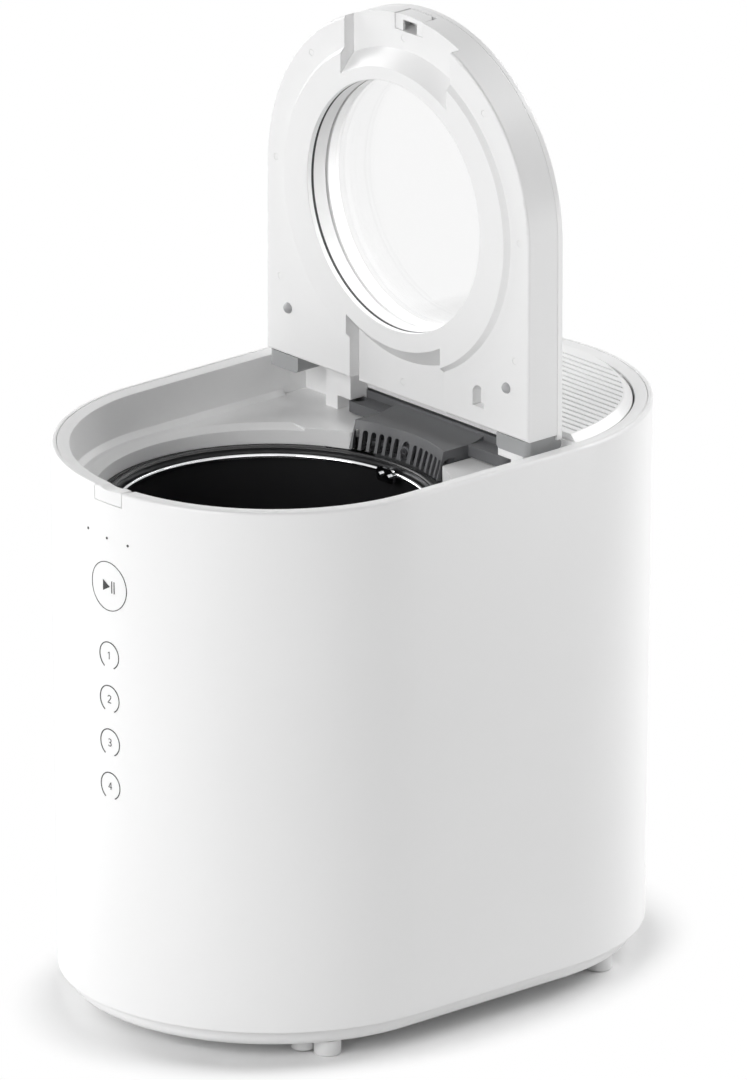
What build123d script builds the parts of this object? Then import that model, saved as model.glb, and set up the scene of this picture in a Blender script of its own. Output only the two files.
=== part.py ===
from build123d import *
from math import acos, atan2, cos, degrees, pi, radians, sin, sqrt, tan
import os

# Electric food waste composter: a counter-top machine with a stadium-shaped casing, a hinged window
# lid, a lift-out bucket with a stirring blade, a gear drive, and a fan with a carbon filter behind.
#
# Frame: millimetres, X to the right, Y to the back, Z up. The origin is the centre of the footprint on
# the surface that the machine stands on. The lid is modelled shut and then turned open about its hinge.

# ---------------------------------------------------------------- casing, driving dimensions
half_width = 120.0          # casing half-width at the rim
half_straight = 58.0        # from the footprint's centre to the centre of each round end
rim_z = 318.0               # top of the rim
shell_z = 19.0              # bottom of the outer shell
shell_draft = 2.8           # how much the half-width shrinks from rim to bottom
shell_wall = 2.8
rim_round = 1.6             # rounded outer edge of the rim
seam_groove = 0.35          # groove between the shell and the rim band
rim_band = 10.0             # width of the rim band seen from above
rim_slope = 1.1             # how far the band falls towards its inner edge
tray_z = 9.0                # underside of the base tray
tray_inset = 5.2            # tray wall behind the shell's lower edge
tray_round = 6.0
tray_floor = 3.0
gap = 0.3                   # clearance between pieces that move apart
fit = 0.15                  # clearance between nested pieces that stay put
running = 0.05              # radial clearance of a shaft in its bearing

front_y = -half_straight    # axis of the bucket, the drive and the front round end
rear_y = half_straight      # axis of the rear round end
well_r = half_width - rim_band
well_wall = 2.4
collar_r = well_r - 13.2    # mouth of the round collar over the bucket
front_offset = 1.8          # latch and controls sit this far right of the centre line

# ---------------------------------------------------------------- lid
lid_r = well_r - 3.0
lid_shift = 2.1             # lid's round end in front of the bucket axis when shut
lid_thick = 25.4
lid_proud = 2.4             # lid and filter cover stand this far above the rim
lid_back_y = 51.2           # straight rear edge of the shut lid's cover
frame_back_y = 48.3         # rear edge of its inner half
lid_cover_depth = 4.3
lid_wall = 2.4
hinge_y = 54.1
hinge_z = 317.5
hinge_pin_r = 1.6
boss_r = collar_r - 4.7      # raised round boss on the lid's inner face
boss_slope = 2.4            # width of the boss's sloping edge
boss_h = 2.8
boss_shift = 0.6            # boss centre in front of the bucket axis
window_shift = 2.2          # window centre in front of the bucket axis
window_r = boss_r - 21.6
window_ring_wall = 2.0
window_lip = 3.0            # lid frame's lip in front of the gasket
window_gasket_t = 1.8
window_depth = 13.4         # from the boss face to the inner pane
pane_r = window_r + 4.5
pane_t = 4.0
outer_pane_t = 3.0
recess_half = 38.4          # air recess in the lid, over the collector
tip_half = 43.0             # recess at the lid's front tip, over the release hook
recess_depth = 6.6
recess_r = boss_r - 12.6     # both recesses end at a cone round the window, this wide at the boss
recess_slope = 9.0
pocket_x, pocket_up = lid_r - 40.5, 19.4
pocket_w, pocket_l, pocket_depth = 9.2, 12.0, 6.0
lid_screw_r = 1.75
lid_screw_inset = 7.8
lid_screw_low = 47.0        # lowest lid screws in front of the shut lid's rear edge
bumper_x, bumper_up = lid_r - 17.7, 30.1
tip_screw_up, recess_screw_up = 13.4, 8.4
mark_x = -2.2               # the two screws in the recesses sit left of the centre line
catch_depth = 9.4
catch_z = 312.8             # top of the notch for the release hook
knuckle_in, knuckle_out = lid_r - 25.8, lid_r - 1.4
knuckle_back = 3.0          # knuckle reaches this far behind the hinge axis
knuckle_round, knuckle_corner = 4.0, 2.6
lid_open_angle = 90.0

# ---------------------------------------------------------------- well, ledge, collar
ledge_z = 292.2
ledge_t = 3.8
ledge_drop = 2.0
cone_end_y = 18.0           # the ledge's slope towards the collar ends here
ledge_corner = 2.5
collar_z = 282.2
skirt_z = 303.0
deck_z = 305.0
deck_t = 2.5
cross_wall_y = 62.7
cross_wall = 1.7
tower_in = knuckle_in - 20.8
tower_y = 51.6
tower_r = 2.6

# ---------------------------------------------------------------- bucket and heater
bucket_top_z = 283.5
bucket_in_r = collar_r - 8.3
bucket_wall = 1.8
bucket_draft = 4.0
bead_r, bead_t = bucket_in_r + 2.5, 1.6
bucket_floor_z = 96.0
bucket_floor_t = 3.0
hub_rise = 10.0             # how far the floor rises at its centre, over the drive coupling
hub_r = 11.5
bush_r = 8.0
blade_shaft_r = 5.0
bail_r = bucket_in_r - 2.3
ear_r = bucket_in_r - 7.3     # inner face of the bails' brackets
bail_wire_r = 1.3
bail_z = 279.0
bail_half_gap = 3.5         # each bail pivots this far from the centre line
pot_r = bucket_in_r + 2.7
pot_wall = 1.2
pot_flange_r = collar_r + 1.2
pot_top_z = 280.1
jacket_r = pot_r + 7.8
heater_t = 7.0
heater_r = pot_r - 7.2
element_ring_r = 56.0       # centre line of the ring-shaped heating element
element_r = 2.6
sensor_r = 4.9
sensor_x = 52.0

# ---------------------------------------------------------------- drive
module = 1.25
pinion_teeth = 18
output_teeth, b_teeth, a_teeth = 72, 63, 54
backlash = 0.3
centre_play = 0.15
gear_face = 10.0
gear_face_low = 8.0
gearbox_z = 47.0
gearbox_wall = 3.0
gearbox_top_z = 84.0
gear_high_z = 66.0
gear_low_z = 54.0
axle_r = 3.0
output_r = 6.0
bearing_r, bearing_h = 13.0, 5.0
dog_flats = 12.0
motor_r, motor_h = 30.0, 66.0
motor_shaft_r = 3.0
chassis_t = 2.6
plate_r, plate_half, plate_y1 = half_width - 14.0, half_width - 22.0, 118.0

# ---------------------------------------------------------------- air path
vent_top_r, vent_bottom_r = collar_r + 1.8, collar_r - 2.6
vent_top_z, vent_bottom_z = 299.5, 283.7
vent_wall = 2.0
slot_pitch = 3.2            # degrees between the vent slots
slot_w = 3.3
slot_h = 11.5
slots_each_side = 6
lug_span, lug_w, lug_y = 2 * knuckle_in - 32.2, 10.8, 57.2
duct_half = 34.0
lip_rise = 4.2              # how far the collector's top curves up at its rear
duct_wall = 2.0
duct_y0, duct_y1 = 46.0, 62.6
plenum_z0, plenum_z1 = 170.0, 202.0
fan_size, fan_h = 80.0, 25.0
fan_y = 108.0
impeller_r = 36.0
tub_r = well_r - 16.0
tub_y = 68.0
tub_z = 228.4
cartridge_h = 66.0
cover_r = well_r - 1.2
cover_bevel = 4.2
cover_y = 64.9
cover_skirt_z = 309.9
slat_pitch = 5.14
slat_gap = 1.7
slat_count = 17
slat_inset = 5.4

# ---------------------------------------------------------------- feet, inlet, boards, latch
foot_r = 7.5
foot_x, foot_y = half_width - 28.5, half_straight + 41.0
boss_x, boss_y = half_width - 41.5, half_straight + 47.0
pillar_x, pillar_rear_x = half_width - 27.0, half_width - 34.0
foot_boss_r = 6.4
inlet_z = 50.0
inlet_w, inlet_h = 27.6, 19.8
inlet_flange = 3.2
touch_w = 36.0
touch_z0, touch_z1 = 138.0, 295.0
touch_board_z1 = 281.0      # the board ends below the well's wall
touch_back = 2.2
touch_keys = (290.0, 262.5, 222.8, 197.8, 172.8, 147.8)
board_y = 134.0
board_w, board_h, board_t = 120.0, 112.0, 1.6
button_w, button_h = 21.4, 8.0
button_travel = 2.5
hook_w = 10.0
spring_bore = 3.2
button_plate = 3.2          # top plate over the travel gap
dip, dip_r = 0.8, 29.0      # shallow hollow in the button's top
hook_z = 302.0

# ---------------------------------------------------------------- derived places
shut_skin_z = rim_z + lid_proud
shut_inner_z = shut_skin_z - lid_thick
band_z = rim_z - 4.0        # underside of the rim band
lid_y = front_y - lid_shift
gear_b_y = front_y + module * (output_teeth + pinion_teeth) / 2 + centre_play
gear_a_y = gear_b_y + module * (b_teeth + pinion_teeth) / 2 + centre_play
motor_y = gear_a_y + module * (a_teeth + pinion_teeth) / 2 + centre_play
chassis_z = gearbox_top_z + chassis_t
pot_floor_z = chassis_z + fit
heater_z = bucket_floor_z - 0.2 - heater_t


def shell_half(z, wall=0.0):
    """Half-width of the drafted shell at height z, less a wall."""
    return half_width - shell_draft * (rim_z - z) / (rim_z - shell_z) - wall


def stadium(radius, z=0.0):
    """Flat stadium with round ends on the two end axes."""
    slot = SlotCenterToCenter(2 * half_straight, 2 * radius, rotation=90)
    return Pos(0, 0, z) * slot


def stadium_block(radius, z0, z1):
    return extrude(stadium(radius, z0), z1 - z0)


def stadium_cone(r0, z0, r1, z1):
    return loft([stadium(r0, z0), stadium(r1, z1)], ruled=True)


def d_face(radius, y_back, z=0.0, y_round=front_y):
    """Front D: a half disc about the axis at y_round, with straight sides to a flat back at y_back."""
    depth = y_back - y_round
    plan = Pos(0, y_round) * Circle(radius) + Pos(0, y_round + depth / 2) * Rectangle(2 * radius, depth)
    return Pos(0, 0, z) * plan


def d_block(radius, y_back, z0, z1, y_round=front_y):
    return extrude(d_face(radius, y_back, z0, y_round), z1 - z0)


def lid_block(radius, y_back, z0, z1):
    return d_block(radius, y_back, z0, z1, lid_y)


def rear_d_face(radius, y_flat, z=0.0):
    """Rear D: the part of a disc about the rear axis that lies behind the flat at y_flat."""
    plan = Pos(0, rear_y) * Circle(radius)
    keep = Pos(0, y_flat + radius) * Rectangle(2 * radius + 2, 2 * radius)
    return Pos(0, 0, z) * (plan & keep)


def rear_d_block(radius, y_flat, z0, z1):
    return extrude(rear_d_face(radius, y_flat, z0), z1 - z0)


def box(x0, x1, y0, y1, z0, z1):
    centre = Pos((x0 + x1) / 2, (y0 + y1) / 2, (z0 + z1) / 2)
    return centre * Box(x1 - x0, y1 - y0, z1 - z0)


def disc(radius, z0, z1, x=0.0, y=0.0):
    return Pos(x, y, (z0 + z1) / 2) * Cylinder(radius, z1 - z0)


def tube(r_out, r_in, z0, z1, x=0.0, y=0.0):
    return disc(r_out, z0, z1, x, y) - disc(r_in, z0 - 1, z1 + 1, x, y)


def rod_x(radius, x0, x1, y, z):
    return Pos((x0 + x1) / 2, y, z) * Rot(0, 90, 0) * Cylinder(radius, x1 - x0)


def rod_y(radius, y0, y1, x, z):
    return Pos(x, (y0 + y1) / 2, z) * Rot(90, 0, 0) * Cylinder(radius, y1 - y0)


def turned(points, y=front_y, arc=360.0, start=0.0):
    """Solid of revolution about the vertical axis at y, from an (r, z) outline."""
    outline = make_face(Polyline([(r, 0, z) for r, z in points], close=True))
    body = revolve(outline, Axis.Z, arc)
    return Pos(0, y, 0) * Rot(0, 0, start) * body


def mirrored(part):
    return mirror(part, Plane.YZ)


def pair(part):
    return [part, mirrored(part)]


def group(parts):
    return Compound(children=[p if isinstance(p, Solid) else p.solids()[0] for p in parts])


def edges_at(part, z, radius_min=0.0):
    """Edges that lie flat at height z, further out than radius_min from the centre line."""
    flat = [e for e in part.edges() if abs(e.center().Z - z) < 1e-3 and e.bounding_box().size.Z < 1e-3]
    return [e for e in flat if max(abs(e.bounding_box().max.X), abs(e.bounding_box().min.X)) > radius_min]


def opened(part):
    """Turn a piece of the shut lid to the open pose."""
    return Pos(0, hinge_y, hinge_z) * Rot(-lid_open_angle, 0, 0) * Pos(0, -hinge_y, -hinge_z) * part


# ================================================================ casing
def outer_shell():
    outer = stadium_cone(shell_half(shell_z), shell_z, half_width, rim_z)
    outer = fillet(edges_at(outer, rim_z), rim_round)
    inner = stadium_cone(shell_half(shell_z, shell_wall), shell_z, shell_half(rim_z, shell_wall), rim_z)
    shell = outer - inner
    shell -= button_opening()
    reach = rear_y + half_width
    shell -= box(-inlet_w / 2 - inlet_flange - fit, inlet_w / 2 + inlet_flange + fit, reach - 20, reach + 5,
                 inlet_z - inlet_h / 2 - inlet_flange - fit, inlet_z + inlet_h / 2 + inlet_flange + fit)
    return shell


def button_opening():
    """Notch in the rim and shell for the lid release button."""
    half = button_w / 2 + gap
    wall_y = front_y - well_r - well_wall
    return box(front_offset - half, front_offset + half, front_y - half_width - 5, wall_y,
               rim_z - button_h - gap, rim_z + 5)


def top_frame():
    frame = rim_ring() + well_walls() + ledge() + rear_deck()
    for tower in pair(hinge_tower()):
        frame += tower
    frame -= button_opening()
    half = button_w / 2 + gap
    wall_y = front_y - well_r
    frame -= box(front_offset - half, front_offset + half, front_y - half_width, wall_y + 1,
                 rim_z - 1.6 - gap, rim_z + 1)
    frame -= box(front_offset - half, front_offset + half, front_y - half_width, wall_y - well_wall,
                 skirt_z - 1, rim_z - button_h)
    frame -= box(front_offset - half + 1, front_offset + half - 1, wall_y - well_wall - 1, wall_y + 1,
                 hook_z - 3.4, hook_z + 5.4)
    lug_room = SlotCenterToCenter(lug_span - lug_w, lug_w + 2 * gap)
    frame -= Pos(0, lug_y, ledge_z + 0.4) * extrude(lug_room, vent_top_z + gap - ledge_z - 0.4)
    return frame


def rim_ring():
    """Rim band that falls inwards, with a skirt that locates it inside the shell."""
    edge = half_width - shell_wall - fit
    top = rim_z - 0.1
    ring = stadium_block(edge, band_z, top)
    ring = chamfer(edges_at(ring, top), seam_groove)
    ring -= stadium_block(well_r, band_z - 1, rim_z + 1)
    ring -= stadium_cone(well_r, rim_z - rim_slope, edge - seam_groove, top + 0.01)
    skirt_r = shell_half(skirt_z, shell_wall) - fit
    skirt = stadium_block(skirt_r, skirt_z, band_z + 0.5)
    skirt -= stadium_block(skirt_r - 2.4, skirt_z - 1, band_z + 1)
    return ring + skirt


def well_walls():
    """Wall round the lid well, the shallower rear recess, and the cross wall between them."""
    outer_r = well_r + well_wall
    bottom = ledge_z - ledge_t
    ring = stadium_block(outer_r, bottom, rim_z - 1.5) - stadium_block(well_r, bottom - 1, rim_z)
    behind = box(-half_width, half_width, cross_wall_y + cross_wall, 200, bottom - 1, deck_z)
    ring -= behind
    cross = box(-well_r - 1, well_r + 1, cross_wall_y, cross_wall_y + cross_wall, bottom, rim_z - 1)
    cross -= box(-tower_in + fit, tower_in - fit, cross_wall_y - 1, cross_wall_y + 5, 200, deck_z + deck_t)
    return ring + cross


def ledge():
    """Ledge under the shut lid, falling to a round collar over the bucket."""
    bottom = ledge_z - ledge_t
    plate = d_block(well_r + 1, cross_wall_y + 1, bottom, ledge_z)
    collar = tube(collar_r + 2.4, collar_r, collar_z, bottom + 1, y=front_y)
    foot = d_block(well_r + 1, 46, ledge_z - 0.5, ledge_z + 3)
    foot -= loft([d_face(well_r - 3, 47, ledge_z), d_face(well_r, 47, ledge_z + 3)], ruled=True)
    foot -= d_block(well_r - 3, 47, ledge_z - 1, ledge_z)
    plate += collar + foot
    plate -= disc(collar_r, 200, 400, y=front_y)
    low = ledge_z - ledge_drop
    cone = [(0, low), (collar_r, low), (collar_r + 7.2, ledge_z), (0, ledge_z)]
    plate -= turned(cone) & box(-half_width, half_width, front_y - half_width, cone_end_y, 200, 400)
    clear = duct_half + vent_wall + 1.2
    plate -= box(-clear, clear, 24, cross_wall_y + 5, 200, 400)
    corners = [e for e in plate.edges().filter_by(Axis.Z)
               if abs(abs(e.center().X) - clear) < 0.01 and e.center().Y < front_y + collar_r
               and e.bounding_box().max.Z > ledge_z - 0.1]
    plate = fillet(corners, ledge_corner)
    for x in lug_screw_places():
        plate -= disc(1.35, bottom - 1, ledge_z + 1, x, lug_y)
    return plate


def lug_screw_places():
    half = (lug_span - lug_w) / 2
    return [-half, half]


def rear_deck():
    """Deck under the filter cover, with the opening that the filter tub hangs in."""
    top = deck_z + deck_t
    deck = stadium_block(well_r + 1, deck_z, top)
    deck -= box(-200, 200, -300, cross_wall_y + 1, 200, 400)
    deck -= rear_d_block(tub_r + fit, tub_y - fit, 200, 400)
    return deck


def hinge_tower():
    """Tower that carries a hinge pin, on the right side."""
    high = vent_top_z + 0.7
    out = knuckle_in - 0.5
    tower = box(tower_in, out, tower_y, cross_wall_y + 1, high, hinge_z - 0.6)
    tower += box(lug_span / 2 + 5.9, out, tower_y, cross_wall_y + 1, ledge_z - 1, high + 1)
    tower += rod_x(tower_r, tower_in, out, hinge_y, hinge_z)
    tower -= rod_x(hinge_pin_r, tower_in + 3, out + 1, hinge_y, hinge_z)
    return tower


def base_tray():
    wall_r = shell_half(shell_z, shell_wall) - fit
    foot_r_out = shell_half(shell_z) - tray_inset
    body = stadium_block(foot_r_out, tray_z, shell_z - 0.3)
    body = fillet(edges_at(body, tray_z), tray_round)
    body += stadium_block(wall_r, shell_z - 0.3, shell_z + 9)
    body -= stadium_block(foot_r_out - 3, tray_z + tray_floor + tray_round, shell_z + 20)
    body -= stadium_block(foot_r_out - tray_round, tray_z + tray_floor, shell_z + 20)
    for x, y in pillar_places():
        body += disc(6.5, tray_z + 1, gearbox_top_z, x, y)
        body -= disc(1.6, gearbox_top_z - 14, gearbox_top_z + 1, x, y)
    for x, y in gearbox_feet():
        body += disc(6, tray_z + 1, gearbox_z, x, y)
    for sx in (-1, 1):
        for sy in (-1, 1):
            body += disc(foot_boss_r, 1.2, tray_z + 1, boss_x * sx, boss_y * sy)
            body -= disc(3.8, 0, 4.1, boss_x * sx, boss_y * sy)
            body -= disc(1.55, 0, tray_z + tray_floor + 5, boss_x * sx, boss_y * sy)
            body -= disc(foot_r - 2 + fit, tray_z - 1, tray_z + 1.8, foot_x * sx, foot_y * sy)
    slots = [box(-40, 40, y, y + 4, 0, 40) for y in range(118, 142, 8)]
    for slot in slots:
        body -= slot
    body += box(-board_w / 2 - 4, -board_w / 2 + 3, board_y - 4, board_y + 4, tray_z + 1, 32)
    body += box(board_w / 2 - 3, board_w / 2 + 4, board_y - 4, board_y + 4, tray_z + 1, 32)
    body -= box(-board_w / 2 - fit, board_w / 2 + fit, board_y - fit, board_y + board_t + fit, 24, 40)
    return body + inlet_upright()


def pillar_places():
    front = [(x, y) for x in (-pillar_x, pillar_x) for y in (-92, 0)]
    return front + [(x, 104) for x in (-pillar_rear_x, pillar_rear_x)]


def gearbox_feet():
    front = [(x, y) for x in (-34, 34) for y in (front_y - 20, front_y + 20)]
    return front + [(-20, gear_a_y), (20, gear_a_y)]


def feet():
    """Four round rubber feet, plugged into the tray."""
    foot = disc(foot_r, 0, tray_z)
    foot = chamfer(edges_at(foot, 0), 0.8) + disc(foot_r - 2, tray_z - 1, tray_z + 1.6)
    return group([Pos(foot_x * sx, foot_y * sy, 0) * foot for sx in (-1, 1) for sy in (-1, 1)])


def base_screws():
    """Four pan-head screws up through the tray's round bosses."""
    screw = disc(3.4, 2.0, 4.1) + disc(1.5, 4.0, 11.5)
    screw -= box(-2, 2, -0.4, 0.4, 1.5, 2.8) + box(-0.4, 0.4, -2, 2, 1.5, 2.8)
    return [Pos(boss_x * sx, boss_y * sy, 0) * screw for sx in (-1, 1) for sy in (-1, 1)]


# ================================================================ chassis and heater
def chassis_plate():
    plate = Pos(0, 0, gearbox_top_z) * extrude(
        Pos(0, front_y) * Circle(plate_r)
        + Pos(0, (front_y + plate_y1) / 2) * Rectangle(2 * plate_half, plate_y1 - front_y), chassis_t)
    plate -= disc(19, 60, 120, y=front_y)
    plate -= disc(motor_r + 1, 60, 120, y=motor_y)
    for x, y in pillar_places():
        plate -= disc(2.1, 60, 120, x, y)
    return plate


def chassis_screws():
    screw = disc(3.6, chassis_z, chassis_z + 2.2) + disc(1.6, gearbox_top_z - 12, chassis_z + 1)
    screw -= box(-2.2, 2.2, -0.4, 0.4, chassis_z + 1, chassis_z + 3)
    return [Pos(x, y, 0) * screw for x, y in pillar_places()]


def heating_pot():
    """Thin steel pot that the bucket drops into, with a floor and a flange."""
    r, t, z0, z1 = pot_r, pot_wall, pot_floor_z, pot_top_z
    return turned([(18.5, z0), (r + t, z0), (r + t, z1 - t), (pot_flange_r, z1 - t), (pot_flange_r, z1),
                   (r, z1), (r, z0 + t), (18.5, z0 + t)])


def pot_seal():
    """Silicone ring between the pot's flange and the collar."""
    ring = tube(pot_flange_r - 0.5, pot_r + 3.6, pot_top_z, collar_z - fit, y=front_y)
    return ring - box(-50, 50, 20, 60, 200, 300)


def heater_plate():
    plate = turned([(19, heater_z), (heater_r, heater_z), (heater_r, heater_z + heater_t - 0.6),
                    (heater_r - 0.6, heater_z + heater_t), (19, heater_z + heater_t)])
    plate -= disc(sensor_r + gap, 60, 120, sensor_x, front_y)
    w = element_r + fit
    top = heater_z + 2 * element_r + 2 * fit
    groove = turned([(element_ring_r - w, heater_z - 1), (element_ring_r + w, heater_z - 1),
                     (element_ring_r + w, top), (element_ring_r - w, top)])
    plate -= groove & box(-100, sensor_x - sensor_r - 2, front_y - 100, front_y + 100, 60, 120)
    for x, y in heater_legs():
        plate += disc(4, pot_floor_z + pot_wall, heater_z + 1, x, y)
    return plate


def heater_legs():
    return [(74 * cos(radians(a)), front_y + 74 * sin(radians(a))) for a in (30, 150, 270)]


def heating_element():
    """Tubular element, an open ring in the plate's groove."""
    ring = Pos(0, front_y, heater_z + element_r + fit) * Torus(element_ring_r, element_r)
    return ring & box(-100, sensor_x - sensor_r - 5, front_y - 100, front_y + 100, 60, 120)


def temperature_sensor():
    return disc(sensor_r, pot_floor_z + pot_wall, heater_z + heater_t, sensor_x, front_y)


def insulation_jacket():
    jacket = tube(jacket_r, pot_r + pot_wall + gap, chassis_z + 3, pot_top_z - pot_wall - 0.5, y=front_y)
    return jacket


# ================================================================ gear drive
def involute(angle):
    return tan(angle) - angle


def gear(teeth, centre_y, z0, height, first_tooth, bore):
    """Spur gear with involute flanks about a vertical axis; first_tooth is one tooth's direction."""
    pitch_r = module * teeth / 2
    base_r = pitch_r * cos(radians(20))
    root_r, tip_r = pitch_r - 1.25 * module, pitch_r + 0.92 * module
    half_pitch = (pi * module / 2 - backlash / 2) / (2 * pitch_r)
    start_r = max(base_r, root_r + 0.2 * module)
    radii = [start_r + (tip_r - start_r) * k / 4 for k in range(5)]
    flank = [(root_r, half_pitch + involute(radians(20)))]
    for r in radii:
        turn = involute(acos(min(1.0, base_r / r)))
        flank.append((r, half_pitch + involute(radians(20)) - turn))
    points = []
    for k in range(teeth):
        mid = radians(first_tooth) + 2 * pi * k / teeth
        points += [(r * cos(mid - a), r * sin(mid - a)) for r, a in flank]
        points += [(r * cos(mid + a), r * sin(mid + a)) for r, a in reversed(flank)]
    wheel = extrude(make_face(Polyline(points, close=True)), height)
    wheel = Pos(0, centre_y, z0) * wheel
    return wheel - disc(bore, z0 - 1, z0 + height + 1, y=centre_y)


def output_gear():
    wheel = gear(output_teeth, front_y, gear_high_z, gear_face, 90, output_r)
    for k in range(6):
        a = radians(60 * k)
        wheel -= disc(8, 0, 200, 27 * cos(a), front_y + 27 * sin(a))
    return wheel


def output_shaft():
    """Shaft with a hexagonal driving dog on top."""
    low = gearbox_z + gearbox_wall + 0.4
    shaft = disc(output_r, low, chassis_z + 2, y=front_y)
    top = bucket_floor_z + hub_rise - 3
    hexagon = RegularPolygon(dog_flats / 2, 6, major_radius=False)
    dog = Pos(0, front_y, chassis_z + 1) * extrude(hexagon, top - chassis_z - 1)
    return shaft + chamfer(edges_at(dog, top), 0.8)


def cluster_gear(y, wheel_teeth, wheel_z, wheel_face, small_z, small_face):
    """Wheel and pinion in one piece on a fixed axle."""
    low, high = min(wheel_z, small_z), max(wheel_z + wheel_face, small_z + small_face)
    wheel = gear(wheel_teeth, y, wheel_z, wheel_face, 90, axle_r + running)
    small = gear(pinion_teeth, y, small_z, small_face, -90 + 180 / pinion_teeth, axle_r + running)
    neck = tube(7.5, axle_r + running, low + 0.5, high - 0.5, y=y)
    hub = tube(6, axle_r + running, gearbox_z + gearbox_wall + 0.15, gearbox_top_z - 4.15, y=y)
    return wheel + small + neck + hub


def cluster_gear_b():
    return cluster_gear(gear_b_y, b_teeth, gear_low_z, gear_face_low, gear_high_z, gear_face)


def cluster_gear_a():
    return cluster_gear(gear_a_y, a_teeth, gear_high_z, gear_face, gear_low_z, gear_face_low)


def gear_axles():
    """Two fixed steel pins for the cluster gears."""
    low = gearbox_z + 1
    return [disc(axle_r, low, gearbox_top_z - 1, y=y) for y in (gear_b_y, gear_a_y)]


def gearbox_plan(extra):
    """Outline round the gear train, grown by extra."""
    reach = [(front_y, output_teeth), (gear_b_y, b_teeth), (gear_a_y, a_teeth), (motor_y, pinion_teeth + 10)]
    rounds = [Pos(0, y) * Circle(module * teeth / 2 + 3 + extra) for y, teeth in reach]
    return make_hull([e for c in rounds for e in c.edges()])


def gearbox_housing():
    body = Pos(0, 0, gearbox_z) * extrude(gearbox_plan(gearbox_wall), gearbox_top_z - 4 - gearbox_z)
    body -= Pos(0, 0, gearbox_z + gearbox_wall) * extrude(gearbox_plan(0), 100)
    for y in (gear_b_y, gear_a_y):
        body -= disc(axle_r, gearbox_z + 1, 100, y=y)
    floor = gearbox_z + gearbox_wall
    body += tube(bearing_r + 2, bearing_r, floor - 0.5, floor + bearing_h, y=front_y)
    return body


def gearbox_cover():
    top = gearbox_top_z
    plate = Pos(0, 0, top - 4) * extrude(gearbox_plan(gearbox_wall), 4)
    plate += disc(17, top - 6, chassis_z - fit, y=front_y)
    plate -= disc(bearing_r, top - 7, top - 1, y=front_y)
    plate -= disc(bearing_r - 2, top - 7, 120, y=front_y)
    plate -= disc(8, top - 10, 120, y=motor_y)
    for y in (gear_b_y, gear_a_y):
        plate -= disc(axle_r, top - 5, top - 1, y=y)
    for x, y in motor_screw_places():
        plate -= disc(1.7, top - 5, top + 1, x, y)
    return plate


def motor_screw_places():
    return [(13 * sx, motor_y) for sx in (-1, 1)]


def motor_screws():
    """Two screws up through the gearbox cover into the motor's face."""
    top = gearbox_top_z
    screw = disc(3, top - 6.2, top - 4) + disc(1.6, top - 5, top + 5)
    screw -= box(-0.4, 0.4, -1.8, 1.8, top - 7, top - 5.2)
    return [Pos(x, y, 0) * screw for x, y in motor_screw_places()]


def ball_bearing(z0):
    """Bearing as one ring with grooved faces."""
    ring = tube(bearing_r, output_r + 0.01, z0, z0 + bearing_h, y=front_y)
    for z in (z0 - 0.5, z0 + bearing_h - 0.5):
        ring -= tube(bearing_r - 2.2, output_r + 2.4, z, z + 1.0, y=front_y)
    return ring


def output_bearings():
    floor = gearbox_z + gearbox_wall
    return [ball_bearing(floor), ball_bearing(gearbox_top_z - 1 - bearing_h)]


def output_seal():
    """Lip seal round the shaft, in the gearbox cover's neck."""
    return tube(bearing_r - 2, output_r + running, gearbox_top_z - 0.9, chassis_z - fit, y=front_y)


def motor():
    """Motor can and end bell with two tabs."""
    top = gearbox_top_z
    can = disc(motor_r, top, top + motor_h - 9, y=motor_y)
    can -= disc(motor_shaft_r + 0.4, top - 1, top + 14, y=motor_y)
    for x, y in motor_screw_places():
        can -= disc(1.6, top - 1, top + 6, x, y)
    z0 = top + motor_h - 9
    bell = disc(motor_r - 1.5, z0, z0 + 7, y=motor_y)
    bell = fillet(edges_at(bell, z0 + 7), 2.5) + disc(7, z0 + 6, z0 + 9, y=motor_y)
    for x in (-16, 16):
        bell += box(x - 3, x + 3, motor_y - 0.5, motor_y + 0.5, z0 + 6, z0 + 13)
    return [can, bell]


def motor_shaft():
    return disc(motor_shaft_r, gear_high_z - 3, gearbox_top_z + 13, y=motor_y)


def motor_pinion():
    return gear(pinion_teeth, motor_y, gear_high_z, gear_face, -90 + 180 / pinion_teeth, motor_shaft_r)


# ================================================================ bucket
def bucket_inner_r(z):
    """Inner radius of the drafted bucket at height z."""
    rise = (z - bucket_floor_z) / (bucket_top_z - bucket_floor_z)
    return bucket_in_r - bucket_draft * (1 - rise)


def bucket():
    """Cast bucket with a raised centre over the coupling, a hub and a rolled bead."""
    z0, t = bucket_floor_z, bucket_floor_t
    low_r = bucket_inner_r(z0)
    centre_z = z0 + hub_rise
    w = bucket_wall
    outline = [(bush_r, centre_z), (19, centre_z), (20, z0), (low_r + w - 3, z0), (low_r + w, z0 + 3),
               (bucket_in_r + w, bucket_top_z - bead_t), (bucket_in_r + w, bucket_top_z - 0.6),
               (bucket_in_r, bucket_top_z - 0.6), (low_r + 0.1, z0 + t + 4), (low_r - 3, z0 + t),
               (23.5, z0 + t), (22.5, centre_z + t), (hub_r, centre_z + t), (hub_r, centre_z + 18),
               (bush_r, centre_z + 18)]
    body = turned(outline)
    return body + Pos(0, front_y, bucket_top_z - bead_t) * Torus(bead_r, bead_t)


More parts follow.
